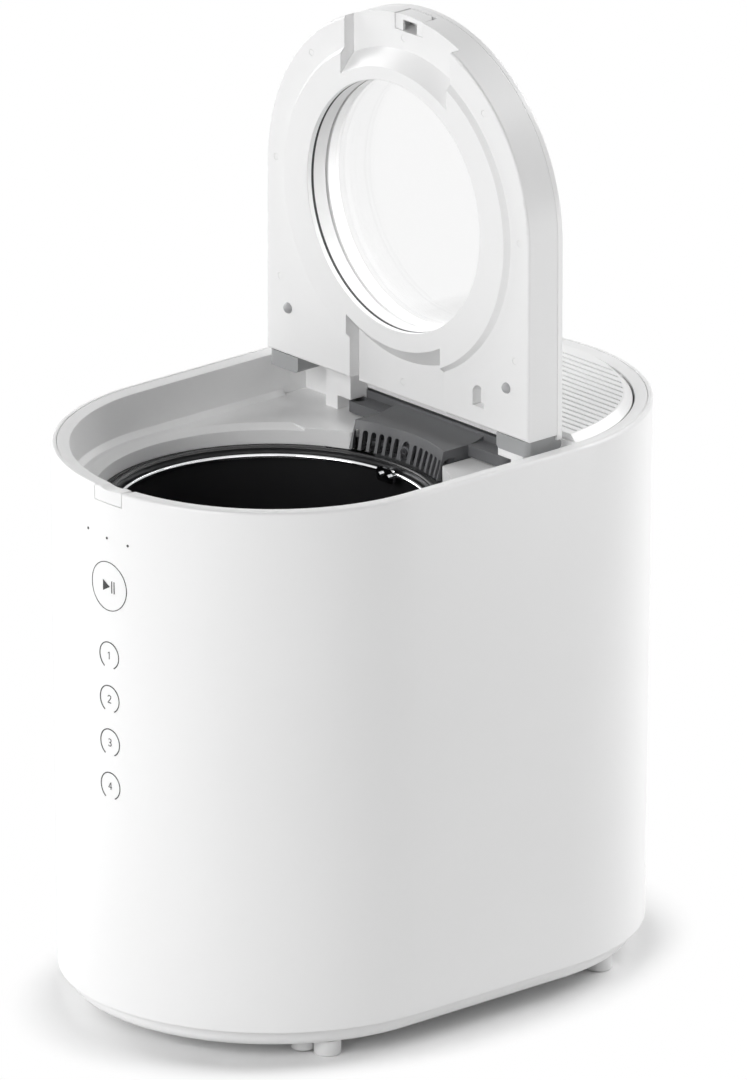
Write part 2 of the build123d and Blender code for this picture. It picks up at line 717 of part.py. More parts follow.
def bail_ears():
    """Brackets inside the bucket, front and back, with two eyes for the bails."""
    r0 = ear_r
    plate = box(-7, 7, r0, r0 + 1.6, bail_z - 4, bail_z + 4)
    plate = fillet(plate.edges().filter_by(Axis.Y), 2.5)
    web = box(-0.9, 0.9, r0 + 1, bucket_inner_r(bail_z - 4) - running, bail_z - 4, bail_z + 3)
    ear = plate + web
    for x in (-bail_half_gap, bail_half_gap):
        ear -= rod_y(bail_wire_r + running, r0 - 2, r0 + 3, x, bail_z)
    rear = Pos(0, front_y, 0) * ear
    return [rear, Pos(0, front_y, 0) * Rot(0, 0, 180) * ear]


def bail():
    """Half-ring wire handle on the right, its ends turned in through the ears."""
    bend = 2.0
    x0 = bail_half_gap
    yc = sqrt((bail_r - bend) ** 2 - (x0 + bend) ** 2)
    out = bail_r / (bail_r - bend)
    far = Vector((x0 + bend) * out, yc * out)
    lean = atan2(yc, x0 + bend)
    mid_angle = (pi + lean) / 2
    mid = Vector(x0 + bend + bend * cos(mid_angle), yc + bend * sin(mid_angle))
    end = ear_r - 1.6
    half = [Line((x0, end), (x0, yc)), ThreePointArc((x0, yc), mid, far)]
    ring = ThreePointArc(far, (bail_r, 0), (far.X, -far.Y))
    other = [ThreePointArc((far.X, -far.Y), (mid.X, -mid.Y), (x0, -yc)), Line((x0, -yc), (x0, -end))]
    path = Wire(half + [ring] + other)
    start = Plane(origin=(x0, end, 0), z_dir=(0, 1, 0))
    wire = sweep(start * Circle(bail_wire_r), path)
    return Pos(0, front_y, bail_z) * wire


def blade_bush():
    z0 = bucket_floor_z + hub_rise
    return tube(bush_r - 0.02, blade_shaft_r + running, z0 + 0.5, z0 + 17.5, y=front_y)


def blade_seal():
    """Seal round the blade shaft on top of the hub."""
    z0 = bucket_floor_z + hub_rise + 18
    return tube(hub_r - 0.5, blade_shaft_r + running, z0, z0 + 1.6, y=front_y)


def blade_shaft():
    z0 = bucket_floor_z + hub_rise - 1
    return disc(blade_shaft_r, z0, z0 + 32, y=front_y)


def blade_coupling():
    """Hexagonal socket on the shaft's lower end, over the driving dog."""
    z1 = bucket_floor_z + hub_rise - 0.4
    body = disc(12.5, z1 - 9.4, z1, y=front_y)
    socket = extrude(RegularPolygon(dog_flats / 2 + gap, 6, major_radius=False), 7.4)
    body -= Pos(0, front_y, z1 - 9.5) * socket
    return body - disc(blade_shaft_r, z1 - 1.2, z1 + 1, y=front_y)


def blade():
    """Cast stirring blade: a cap over the hub, two floor arms and two shorter high arms."""
    top = bucket_floor_z + hub_rise + 18 + 1.6 + gap
    floor = bucket_floor_z + bucket_floor_t + 1.5
    cap = turned([(hub_r + 1, floor + 13), (hub_r + 7, floor + 13), (hub_r + 5, top + 8), (hub_r, top + 12),
                  (blade_shaft_r, top + 12), (blade_shaft_r, top), (hub_r + 1, top)])
    low = make_hull((Pos(17, 0) * Circle(5) + Pos(74, -9) * Circle(5)).edges())
    arm = extrude(Pos(0, 0, floor + 13) * low, 9)
    scraper = extrude(make_hull((Pos(30, -2) * Circle(3.5) + Pos(74, -9) * Circle(5)).edges()), 13.5)
    arm += Pos(0, 0, floor) * scraper
    arm += Pos(74, -9, floor + 20) * Cone(5, 3.5, 26, align=(Align.CENTER, Align.CENTER, Align.MIN))
    high = make_hull((Pos(15, 0) * Circle(4.5) + Pos(58, 8) * Circle(3.5)).edges())
    high_arm = Rot(0, 0, 90) * extrude(Pos(0, 0, top + 2) * high, 7)
    for turn in (0, 180):
        cap += Pos(0, front_y, 0) * Rot(0, 0, turn) * arm
        cap += Pos(0, front_y, 0) * Rot(0, 0, turn) * high_arm
    return cap - disc(hub_r + 1, 0, top, y=front_y)


# ================================================================ air path
def air_collector():
    """Vented piece behind the bucket that draws the air back, with two screw lugs."""
    t = vent_wall
    z0, z1 = vent_bottom_z, vent_top_z
    half = duct_half + t
    front = [(vent_bottom_r, z0), (vent_top_r, z1), (140, z1), (140, z0)]
    wedge = turned(front)
    body = wedge & box(-half, half, 0, duct_y1 + 2 * t, z0 - 1, z1 + 1)
    inner = [(vent_bottom_r + t, z0 + t), (vent_top_r + t, z1 - t), (140, z1 - t), (140, z0 + t)]
    hollow = turned(inner) & box(-half + t, half - t, 0, duct_y1 + t, z0 - 1, z1 + 1)
    lugs = extrude(Pos(0, lug_y, z1 - 6.5) * SlotCenterToCenter(lug_span - lug_w, lug_w), 6.5)
    y_lip, y_ramp = duct_y1 + 2 * t, duct_y1 - 12.0
    lip = box(-60, 60, duct_y1 + 0.4, y_lip, z1 - 6.5, z1 + lip_rise)
    rise = Polyline((y_ramp, z1), (y_ramp, z1 - 3), (y_lip, z1 - 3), (y_lip, z1 + lip_rise))
    radius = (lip_rise**2 + (y_lip - y_ramp)**2) / (2 * lip_rise)
    middle = (y_lip + y_ramp) / 2
    curve = ThreePointArc((y_ramp, z1), (middle, z1 + radius - sqrt(radius**2 - (middle - y_ramp)**2)),
                          (y_lip, z1 + lip_rise))
    ramp = Plane.YZ * make_face(rise.edges() + curve.edges())
    body += lugs + lip + Pos(-half, 0, 0) * extrude(ramp, 2 * half)
    body -= hollow
    for k in range(slots_each_side):
        body -= vent_slot(90 + 4.4 + slot_pitch * k)
        body -= vent_slot(90 - 4.4 - slot_pitch * k)
    body -= box(-duct_half + t, duct_half - t, duct_y0 + t, duct_y1, z0 - 1, z0 + t + 1)
    for x in lug_screw_places():
        body -= disc(3.6, z1 - 2.4, z1 + 1, x, lug_y) + disc(1.7, z1 - 8, z1, x, lug_y)
    return body - vent_slot(90, 5.2) + vent_post()


def vent_middle():
    """Height and radius of the middle of the vent slots."""
    z = vent_top_z - 5.0 - slot_h / 2
    rise = (z - vent_bottom_z) / (vent_top_z - vent_bottom_z)
    return z, vent_bottom_r + rise * (vent_top_r - vent_bottom_r)


def vent_post():
    """Round screw post in the wide middle slot."""
    z, r = vent_middle()
    post = rod_y(3.4, front_y + r, front_y + r + 5, 0, z)
    return post - rod_y(1.25, front_y + r - 1, front_y + r + 6, 0, z)


def vent_slot(direction, width=slot_w):
    """Upright slot with round ends through the vent wall."""
    cutter = Pos(vent_bottom_r, 0, vent_middle()[0]) * Rot(0, 90, 0)
    cutter = cutter * extrude(SlotOverall(slot_h, width), 12, both=True)
    return Pos(0, front_y, 0) * Rot(0, 0, direction) * cutter


def collector_screws():
    """Two lug screws, and the round-headed screw in the middle of the vent wall."""
    z1 = vent_top_z
    screw = disc(3.3, z1 - 2.4, z1 - 0.4) + disc(1.3, z1 - 9.5, z1 - 1)
    screw -= box(-1.8, 1.8, -0.4, 0.4, z1 - 1.2, z1) + box(-0.4, 0.4, -1.8, 1.8, z1 - 1.2, z1)
    z, r = vent_middle()
    y = front_y + r
    round_head = rod_y(2.5, y - 1.0, y, 0, z) + rod_y(1.2, y - 0.5, y + 4.5, 0, z)
    round_head -= box(-1.6, 1.6, y - 2, y - 0.5, z - 0.3, z + 0.3)
    return [Pos(x, lug_y, 0) * screw for x in lug_screw_places()] + [round_head]


def suction_duct():
    """Flat duct down behind the heater, opening into a box under the fan."""
    t = duct_wall
    y_end = fan_y + 46
    leg = box(-duct_half, duct_half, duct_y0, duct_y1, plenum_z0, vent_bottom_z - fit)
    room = box(-44, 44, duct_y0, y_end, plenum_z0, plenum_z1)
    body = leg + room
    body -= box(-duct_half + t, duct_half - t, duct_y0 + t, duct_y1 - t, plenum_z0 + t, vent_bottom_z + 1)
    body -= box(-44 + t, 44 - t, duct_y0 + t, y_end - t, plenum_z0 + t, plenum_z1 - t)
    body -= disc(impeller_r + 1, plenum_z1 - 4, plenum_z1 + 1, y=fan_y)
    return body


def fan_frame():
    """Square fan frame with a motor cup on four struts."""
    z0 = plenum_z1
    half = fan_size / 2
    frame = box(-half, half, fan_y - half, fan_y + half, z0, z0 + fan_h)
    frame = fillet(frame.edges().filter_by(Axis.Z), 5)
    frame -= disc(impeller_r + 1.2, z0 - 1, z0 + fan_h + 1, y=fan_y)
    frame += disc(14, z0, z0 + 3, y=fan_y) + disc(2.0, z0, z0 + 14, y=fan_y)
    for turn in (45, 135):
        frame += Pos(0, fan_y, z0 + 1.5) * Rot(0, 0, turn) * Box(2 * impeller_r + 6, 4, 3)
    for sx in (-1, 1):
        for sy in (-1, 1):
            frame -= disc(2.2, z0 - 1, z0 + fan_h + 1, 35.75 * sx, fan_y + 35.75 * sy)
    return frame


def fan_screws():
    z1 = plenum_z1 + fan_h
    screw = disc(3.4, z1, z1 + 1.2) + disc(2.0, plenum_z1 + 0.5, z1 + 1)
    return [Pos(35.75 * sx, fan_y + 35.75 * sy, 0) * screw for sx in (-1, 1) for sy in (-1, 1)]


def fan_impeller():
    """Hub cup with seven pitched blades."""
    z0 = plenum_z1 + 4
    hub = disc(15, z0, z0 + 19, y=fan_y) - disc(12.5, z0 - 1, z0 + 16, y=fan_y)
    hub += tube(4, 2.0 + running, z0, z0 + 17, y=fan_y)
    ring = tube(impeller_r - 0.6, 14.5, z0, z0 + 19, y=fan_y)
    for k in range(7):
        vane = Rot(0, 0, 360 * k / 7) * Pos(26, 0, z0 + 9.5) * Rot(38, 0, 0) * Box(26, 1.6, 22)
        hub += (Pos(0, fan_y, 0) * vane) & ring
    return hub - disc(2.0 + running, z0 - 1, z0 + 11, y=fan_y)


def filter_tub():
    """Open tub that hangs in the rear deck and holds the cartridge."""
    top = deck_z + deck_t
    tub = rear_d_block(tub_r, tub_y, tub_z, top + 2)
    tub += rear_d_block(tub_r + 8, tub_y - 2.6, top + fit, top + 2)
    tub -= rear_d_block(tub_r - 2, tub_y + 2, tub_z + 2, top + 5)
    tub -= disc(impeller_r + 1, tub_z - 1, tub_z + 5, y=fan_y)
    tub += Pos(0, fan_y, tub_z + 1) * Box(4, 78, 2) + Pos(0, fan_y, tub_z + 1) * Box(78, 4, 2)
    return tub


def cartridge_frame():
    """Frame of the lift-out filter, with a grid below and above and a finger bar."""
    r, y0 = tub_r - 3.0, tub_y + 3.0
    z0 = tub_z + 2.6
    z1 = z0 + cartridge_h
    frame = rear_d_block(r, y0, z0, z1) - rear_d_block(r - 2, y0 + 2, z0 - 1, z1 + 1)
    for z in (z0, z1 - 2):
        for k in range(-4, 5):
            frame += box(k * 18 - 1, k * 18 + 1, y0 + 1, rear_y + r, z, z + 2) & rear_d_block(r, y0, z, z + 2)
        for y in (86, 104, 122, 140):
            frame += box(-r, r, y - 1, y + 1, z, z + 2) & rear_d_block(r, y0, z, z + 2)
    handle = box(-21, 21, 101, 107, z1 + 4, z1 + 7)
    for x in (-21, 18):
        handle += box(x, x + 3, 101, 107, z1 - 1, z1 + 6)
    return frame + handle


def carbon_bed():
    r, y0 = tub_r - 3.0, tub_y + 3.0
    z0 = tub_z + 2.6 + 2.2
    return rear_d_block(r - 2.2, y0 + 2.2, z0, z0 + cartridge_h - 4.4)


def filter_cover():
    """Slatted rear cover, level with the shut lid."""
    top = shut_skin_z
    cover = rear_d_block(cover_r, cover_y, cover_skirt_z, top)
    bevelled = [e for e in edges_at(cover, top) if e.center().Y > cover_y + 0.1]
    cover = chamfer(bevelled, cover_bevel, cover_bevel + 0.2)
    cover -= rear_d_block(cover_r - 7, cover_y + 2.4, cover_skirt_z - 1, top - 2.6)
    field = rear_d_face(cover_r - slat_inset, cover_y + 3)
    for k in range(slat_count):
        y = cover_y + 6 + slat_pitch * k
        slot = Pos(0, y) * Rectangle(2 * cover_r, slat_gap) & field
        cover -= Pos(0, 0, top - 4) * extrude(slot, 8)
    for x in (-45, 0, 45):
        rib = box(x - 1.2, x + 1.2, cover_y + 1, rear_y + cover_r - 4, top - 6.6, top - 2.2)
        cover += rib & rear_d_block(cover_r - 1, cover_y + 1, cover_skirt_z, top)
    return cover


# ================================================================ lid, modelled shut
def lid_cover():
    """Outer skin of the lid, with the window opening, its rebate and the screw posts."""
    z1 = shut_skin_z
    z0 = z1 - lid_cover_depth
    y_w = front_y - window_shift
    skin = lid_block(lid_r, lid_back_y, z0, z1)
    skin = fillet(edges_at(skin, z1), 1.5)
    skin -= lid_block(lid_r - lid_wall, lid_back_y - lid_wall, z0 - 1, z1 - lid_wall)
    skin += disc(pane_r + 2.4, z0 - 0.8, z1 - 1, y=y_w)
    for x, y, _ in lid_screw_places():
        skin += disc(3.4, z0 + fit, z1 - 1, x, y)
        skin -= disc(1.3, z0 - 1, z1 - lid_wall, x, y)
    skin -= disc(window_r, 200, 400, y=y_w)
    return skin - disc(pane_r - 1 + fit, z1 - outer_pane_t - 0.2, z1 + 1, y=y_w)


def outer_pane():
    z1 = shut_skin_z - 0.2
    return disc(pane_r - 1, z1 - outer_pane_t, z1, y=front_y - window_shift)


def lid_frame():
    """Inner half of the lid: a tray with a raised boss, the window bore, two recesses and the catches."""
    z0 = shut_inner_z
    z1 = shut_skin_z - lid_cover_depth - 0.1
    w = lid_wall
    y_boss, y_w = front_y - boss_shift, front_y - window_shift
    body = lid_block(lid_r, frame_back_y, z0, z1)
    body = fillet(edges_at(body, z0), 1.4)
    body -= lid_block(lid_r - w, frame_back_y - w, z0 + w, z1 + 1)
    body += lid_boss()
    body -= disc(boss_r - boss_slope - w, z0 - boss_h + w, z0 + w + 1, y=y_boss)
    mouth = window_r + window_ring_wall + 0.1
    body += tube(mouth + w, window_r, z0 - boss_h, z0 - boss_h + window_depth - 2.4, y=y_w)
    body -= disc(mouth, z0 - boss_h + window_lip, z0 + 40, y=y_w)
    body -= disc(window_r, 200, z0 + 40, y=y_w)
    body = body - recess_room(0) - tip_room(0) - pocket_room(0)
    body += recess_walls(recess_room) + recess_walls(tip_room) + recess_walls(pocket_room)
    floor = z0 + recess_depth
    body += box(-recess_half, recess_half, frame_back_y - 1, lid_back_y, floor, floor + w)
    for x, y, face in lid_screw_places():
        body += disc(3.4, face, z1 + 0.1, x, y)
    body -= catch_room(0)
    body += catch_walls()
    for x, y, face in lid_screw_places():
        body -= disc(1.35, face - 1, z1 + 1, x, y) + disc(lid_screw_r + running, face - 1, face + 1.6, x, y)
    return body - bumper_holes()


def lid_boss():
    z0 = shut_inner_z
    top = boss_r - boss_slope
    return turned([(0, z0 - boss_h), (top, z0 - boss_h), (boss_r, z0), (boss_r, z0 + 1), (0, z0 + 1)],
                  front_y - boss_shift)


def recess_cone(grow):
    """Cone round the window that both recesses end at, seen as a solid."""
    low, high = shut_inner_z - boss_h, shut_inner_z + recess_depth
    rise = recess_slope / (high - low)
    points = [(0, low - 10), (recess_r - 10 * rise - grow, low - 10),
              (recess_r + recess_slope + 10 * rise - grow, high + 10), (0, high + 10)]
    return turned(points, front_y - boss_shift)


def recess_room(grow):
    """Space of the air recess at the lid's rear edge."""
    room = box(-recess_half - grow, recess_half + grow, front_y, lid_back_y + 1, shut_inner_z - 10,
               shut_inner_z + recess_depth + grow)
    return room - recess_cone(grow)


def tip_room(grow):
    """Space of the recess at the lid's front tip, which the release hook reaches through."""
    room = box(-tip_half - grow, tip_half + grow, lid_y - lid_r - 1, front_y, shut_inner_z - 10,
               shut_inner_z + recess_depth + grow)
    return room - recess_cone(grow)


def pocket_room(grow):
    """Small pocket beside the right bumper, round at its upper end."""
    y = lid_back_y - pocket_up
    half = pocket_w / 2
    y_round = y - pocket_l / 2 + half
    z0, z1 = shut_inner_z - 10, shut_inner_z + pocket_depth + grow
    room = box(pocket_x - half - grow, pocket_x + half + grow, y_round, y + pocket_l / 2 + grow, z0, z1)
    return room + disc(half + grow, z0, z1, pocket_x, y_round)


def recess_walls(room):
    """Wall round a recess, inside the lid's own outline."""
    skin = lid_block(lid_r - 1.5, frame_back_y - 0.01, shut_inner_z, shut_inner_z + recess_depth + lid_wall)
    return (room(lid_wall) - room(0)) & (skin + lid_boss())


def catch_room(grow):
    """Notch at the lid's front tip that the release hook reaches into."""
    half = button_w / 2 + 0.6 + grow
    tip = lid_y - lid_r
    return box(front_offset - half, front_offset + half, tip - 2, tip + catch_depth + grow,
               shut_inner_z - 1, catch_z + grow)


def catch_walls():
    """Walls of the notch above the recess floor."""
    shell = catch_room(lid_wall) - catch_room(0)
    return shell & lid_block(lid_r - 0.01, lid_back_y, shut_inner_z + recess_depth, catch_z + lid_wall)


def latch_keeper():
    """Bar across the notch, held by the hook when the lid is shut, with plates that close the notch.

    The floor plate leaves a slot for the hook, and the curved plate closes the lid's edge.
    """
    half = button_w / 2 + 0.6
    tip = lid_y - lid_r
    z0 = hook_z + 0.6
    bar = box(front_offset - half, front_offset + half, tip + 1.0, tip + catch_depth, z0, z0 + 1.6)
    slot = hook_w / 2 + 0.6
    bar -= box(front_offset - slot, front_offset + slot, tip + 3.4, tip + catch_depth + 1, z0 - 1, z0 + 2)
    plate = lid_block(lid_r - 0.3, lid_back_y, z0, catch_z - 0.6)
    plate -= lid_block(lid_r - 1.5, lid_back_y + 1, z0 - 1, catch_z)
    room = box(front_offset - half + 0.9, front_offset + half - 0.9, tip - 2, tip + 6, z0, catch_z)
    corner = box(-2.4, 2.4, -8, 8, -2.4, 2.4)
    room -= Pos(front_offset + half - 0.9, tip, catch_z - 0.6) * Rot(0, 45, 0) * corner
    return bar + (plate & room)


def window_face():
    """Height of the gasket's lower face, behind the lip of the lid frame."""
    return shut_inner_z - boss_h + window_lip


def window_ring():
    """Pale ring that lines the window bore and carries the inner pane."""
    z0 = window_face() + window_gasket_t
    z1 = shut_inner_z - boss_h - 0.2 + window_depth
    y_w = front_y - window_shift
    ring = tube(window_r + window_ring_wall, window_r, z0, z1, y=y_w)
    return ring + tube(pane_r + 1.4, window_r, z1 - 2.2, z1, y=y_w)


def window_gasket():
    """Thin dark gasket between the ring and the lid frame's lip."""
    z0, r = window_face(), window_r + window_ring_wall
    return tube(r, window_r + 0.05, z0, z0 + window_gasket_t, y=front_y - window_shift)


def inner_pane():
    z0 = shut_inner_z - boss_h - 0.2 + window_depth + 0.1
    return disc(pane_r, z0, z0 + pane_t, y=front_y - window_shift)


def pane_spacer():
    """Ring that keeps the two panes apart."""
    z0 = shut_inner_z - boss_h - 0.2 + window_depth + pane_t + 0.2
    return tube(pane_r + 1.4, window_r, z0, shut_skin_z - lid_cover_depth - 0.9, y=front_y - window_shift)


def bumper_places():
    y = lid_back_y - bumper_up
    return [(bumper_x, y), (-bumper_x, y)]


def bumper_holes():
    holes = disc(2.0, shut_inner_z - 1, shut_inner_z + 3, *bumper_places()[0])
    return holes + disc(2.0, shut_inner_z - 1, shut_inner_z + 3, *bumper_places()[1])


def lid_bumpers():
    """Two domed rubber stops on the lid's inner face."""
    stops = []
    for x, y in bumper_places():
        dome = Pos(x, y, shut_inner_z + 0.7) * Sphere(3.2)
        dome &= box(x - 5, x + 5, y - 5, y + 5, shut_inner_z - 5, shut_inner_z)
        stops.append(dome + disc(1.9, shut_inner_z - 0.5, shut_inner_z + 2.2, x, y))
    return stops


def lid_screw_places():
    """Screws as x, y and the height of the face they enter: round the arc, low down, and in the recesses."""
    r = lid_r - lid_screw_inset
    spots = [(r * cos(radians(a)), lid_y - r * sin(radians(a))) for a in (2, 45, 135, 178)]
    low = lid_back_y - lid_screw_low
    spots += [(-r + 3.4, low), (r - 3.4, low)]
    floor = shut_inner_z + recess_depth
    deep = [(mark_x, lid_y - lid_r + tip_screw_up, floor), (mark_x, lid_back_y - recess_screw_up, floor)]
    return [(x, y, shut_inner_z) for x, y in spots] + deep


def lid_screws():
    """Screws that clamp the two halves of the lid, their heads just under the inner face."""
    top = shut_skin_z - lid_wall - 0.5
    return [disc(lid_screw_r, z + 0.1, z + 1.6, x, y) + disc(1.3, z + 1, top, x, y)
            for x, y, z in lid_screw_places()]


def hinge_knuckle():
    """Knuckle block at the lid's rear corner, round about the pin, on the right side."""
    z0 = shut_inner_z + 0.1
    y0, y1 = frame_back_y + 0.05, hinge_y + knuckle_back
    block = box(knuckle_in, knuckle_out, y0, y1, z0, hinge_z)
    block = fillet([e for e in block.edges().filter_by(Axis.Y)
                    if e.center().X > knuckle_out - 1 and e.center().Z < z0 + 1], knuckle_round)
    corner = [e for e in block.edges().filter_by(Axis.Z)
              if e.center().X < knuckle_in + 1 and e.center().Y > y1 - 1]
    block = fillet(corner, knuckle_corner)
    under_cover = shut_skin_z - lid_cover_depth - 0.05
    block -= box(knuckle_in - 1, knuckle_out + 1, y0 - 1, lid_back_y + 0.05, under_cover, 400)
    barrel = rod_x(knuckle_back, knuckle_in, knuckle_out, hinge_y, hinge_z)
    barrel -= box(knuckle_in - 1, knuckle_out + 1, y0 - 9, lid_back_y + 0.05, hinge_z - 1.5, 400)
    knuckle = block + barrel
    return knuckle - rod_x(hinge_pin_r + running, knuckle_in - 1, knuckle_out - 2, hinge_y, hinge_z)


def hinge_pins():
    return pair(rod_x(hinge_pin_r, tower_in + 3.2, knuckle_out - 2.6, hinge_y, hinge_z))


# ================================================================ release button, boards, inlet
def release_button():
    """Push button in the rim with the hook that holds the lid."""
    half = button_w / 2
    x0, x1 = front_offset - half, front_offset + half
    z0 = rim_z - button_h
    r_in = well_r + well_wall + button_travel + gap
    y_face = front_y - r_in
    face = fillet(edges_at(stadium_block(half_width - 0.02, z0, rim_z), rim_z), rim_round)
    body = box(x0, x1, front_y - half_width - 1, y_face, z0, rim_z)
    body += box(x0, x1, y_face - 1, y_face + button_plate, rim_z - 1.6, rim_z)
    face &= body
    end_y = front_y - half_width
    face -= rod_y(dip_r, end_y - 7, end_y + 23, front_offset, rim_z + dip_r - dip)
    tip = lid_y - lid_r
    xa, xb = front_offset - hook_w / 2, front_offset + hook_w / 2
    arm = box(xa, xb, y_face - 1.0, tip + 6.0, hook_z - 3, hook_z - 0.6)
    drop = box(xa, xb, y_face - 1.0, y_face + 0.1, hook_z - 3, z0 + 2)
    post = box(xa, xb, tip + 4.0, tip + 6.0, hook_z - 1, hook_z + 4.4)
    nose = box(xa, xb, tip + 2.6, tip + 5, hook_z + 2.7, hook_z + 4.4)
    button = face + drop + arm + post + nose
    return button - rod_y(2.6, y_face - spring_bore, y_face + 1, front_offset, rim_z - button_h / 2)


def release_spring():
    """Small coil between the button's bore and the well wall, drawn pressed."""
    coil = Helix(pitch=0.72, height=spring_bore - 0.9, radius=1.9)
    start = Plane(origin=coil @ 0, z_dir=coil % 0)
    spring = sweep(start * Circle(0.25), coil, is_frenet=True)
    y1 = front_y - well_r - well_wall
    return Pos(front_offset, y1 - 0.3, rim_z - button_h / 2) * Rot(90, 0, 0) * spring


def touch_panel():
    """Touch board, and the carrier that follows the shell's curve in front of it."""
    y1 = front_y - shell_half(touch_z0, shell_wall) + touch_back
    x0, x1 = front_offset - touch_w / 2, front_offset + touch_w / 2
    strip = stadium_cone(shell_half(touch_z0, shell_wall) - fit, touch_z0,
                         shell_half(touch_z1, shell_wall) - fit, touch_z1)
    strip &= box(x0, x1, front_y - half_width, y1 - 0.01, touch_z0, touch_z1)
    for z in touch_keys:
        strip -= rod_y(3.0, front_y - half_width, y1 + 1, front_offset, z)
    return [box(x0, x1, y1, y1 + board_t, touch_z0, touch_board_z1), strip]


def main_board():
    """Board with its transformer, relay, heat sink, plug and capacitors."""
    board = box(-board_w / 2, board_w / 2, board_y, board_y + board_t, 24, 24 + board_h)
    y = board_y + board_t
    parts = [board, box(-45, -15, y, y + 18, 40, 66), box(-8, 10, y, y + 15, 66, 82),
             box(-50, -20, y, y + 8, 92, 118), box(20, 50, y, y + 10, 110, 116)]
    for x in (24, 38, 50):
        parts.append(rod_y(5.5, y, y + 18, x, 76))
    return parts


def power_inlet():
    """Appliance inlet with a flange and a cavity, and its three pins."""
    y1 = rear_y + shell_half(inlet_z) + 0.2
    w, h, f = inlet_w / 2, inlet_h / 2, inlet_flange
    body = box(-w, w, y1 - 24, y1, inlet_z - h, inlet_z + h)
    body += box(-w - f, w + f, y1 - 3.6, y1, inlet_z - h - f, inlet_z + h + f)
    body = fillet([e for e in body.edges().filter_by(Axis.Y) if abs(e.center().X) > w + f - 0.1], 2.5)
    body -= box(-w + 2, w - 2, y1 - 16, y1 + 1, inlet_z - h + 2, inlet_z + h - 2)
    pins = []
    for x, z in ((-7, -2), (7, -2), (0, 2)):
        pins.append(box(x - 1, x + 1, y1 - 16, y1 - 5, inlet_z + z - 2, inlet_z + z + 2))
    return [body] + pins


def inlet_upright():
    """Upright on the tray that holds the inlet."""
    y1 = rear_y + shell_half(inlet_z) + 0.2
    h = inlet_h / 2 + fit
    w = inlet_w / 2 + fit
    post = box(-w - 4, w + 4, y1 - 12, y1 - 6, tray_z + tray_floor, inlet_z + h + 4)
    return post - box(-w, w, y1 - 13, y1, inlet_z - h, inlet_z + h)


# ================================================================ output
def nodes():
    """Every node of the model by name; a list is a group of separate solids."""
    shut_lid = {
        "lid_cover": lid_cover(), "lid_frame": lid_frame(), "window_ring": window_ring(),
        "window_gasket": window_gasket(), "window_inner_pane": inner_pane(),
        "window_outer_pane": outer_pane(), "pane_spacer": pane_spacer(), "lid_bumpers": lid_bumpers(),
        "lid_screws": lid_screws(), "latch_keeper": latch_keeper(),
        "hinge_knuckles": pair(hinge_knuckle()),
    }
    out = {name: [opened(p) for p in as_list(part)] for name, part in shut_lid.items()}
    out.update({
        "outer_shell": outer_shell(), "top_frame": top_frame(), "base_tray": base_tray(),
        "feet": feet(), "base_screws": base_screws(), "chassis_plate": chassis_plate(),
        "machine_screws": chassis_screws() + motor_screws() + fan_screws(),
        "heating_pot": heating_pot(), "pot_seal": pot_seal(), "heater_plate": heater_plate(),
        "heating_element": heating_element(), "temperature_sensor": temperature_sensor(),
        "insulation_jacket": insulation_jacket(), "gearbox_housing": gearbox_housing(),
        "gearbox_cover": gearbox_cover(), "output_gear": output_gear(), "output_shaft": output_shaft(),
        "cluster_gear_b": cluster_gear_b(), "cluster_gear_a": cluster_gear_a(),
        "gear_axles": gear_axles(), "output_bearings": output_bearings(), "output_seal": output_seal(),
        "motor": motor(), "motor_shaft": motor_shaft(), "motor_pinion": motor_pinion(),
        "bucket": bucket(), "bail_ears": bail_ears(), "bail_right": bail(), "bail_left": mirrored(bail()),
        "blade_bush": blade_bush(), "blade_seal": blade_seal(), "blade_shaft": blade_shaft(),
        "blade_coupling": blade_coupling(), "blade": blade(),
        "air_collector": air_collector(), "collector_screws": collector_screws(),
        "suction_duct": suction_duct(), "fan_frame": fan_frame(), "fan_impeller": fan_impeller(),
        "filter_tub": filter_tub(), "cartridge_frame": cartridge_frame(), "carbon_bed": carbon_bed(),
        "filter_cover": filter_cover(), "hinge_pins": hinge_pins(),
        "release_button": release_button(), "release_spring": release_spring(),
        "touch_panel": touch_panel(), "main_board": main_board(), "power_inlet": power_inlet(),
    })
    return out


def as_list(part):
    return part if isinstance(part, list) else [part]


def write_parts():
    os.makedirs("parts", exist_ok=True)
    for name, part in nodes().items():
        solids = [s for p in as_list(part) for s in p.solids()]
        shape = solids[0] if len(solids) == 1 else Compound(children=solids)
        export_step(shape, f"parts/{name}.step")


write_parts()
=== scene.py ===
"""Looks of the electric food waste composter: finishes for its solids, printed controls and the stage."""
from math import cos, pi, radians, sin

import bpy
import numpy as np
from mathutils import Matrix, Vector


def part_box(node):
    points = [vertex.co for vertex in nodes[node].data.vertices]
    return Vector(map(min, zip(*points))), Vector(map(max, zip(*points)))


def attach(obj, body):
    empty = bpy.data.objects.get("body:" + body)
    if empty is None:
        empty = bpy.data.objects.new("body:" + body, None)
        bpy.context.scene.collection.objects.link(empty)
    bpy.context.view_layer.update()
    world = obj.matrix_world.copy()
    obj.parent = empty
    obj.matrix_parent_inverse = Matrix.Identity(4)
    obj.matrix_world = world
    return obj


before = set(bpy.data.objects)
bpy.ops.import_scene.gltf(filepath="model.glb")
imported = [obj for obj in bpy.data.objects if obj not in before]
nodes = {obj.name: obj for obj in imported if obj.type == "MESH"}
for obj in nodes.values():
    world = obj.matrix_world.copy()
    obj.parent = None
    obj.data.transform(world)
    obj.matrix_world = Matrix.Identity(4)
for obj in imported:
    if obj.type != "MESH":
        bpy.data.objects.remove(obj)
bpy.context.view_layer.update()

bl_info = {
    "name": "Food waste composter looks",
    "version": (1, 0, 0),
    "blender": (4, 5, 0),
    "location": "View3D > Sidebar > Composter",
    "description": "Gives the composter its finishes, printed controls and studio stage",
    "category": "Object",
}

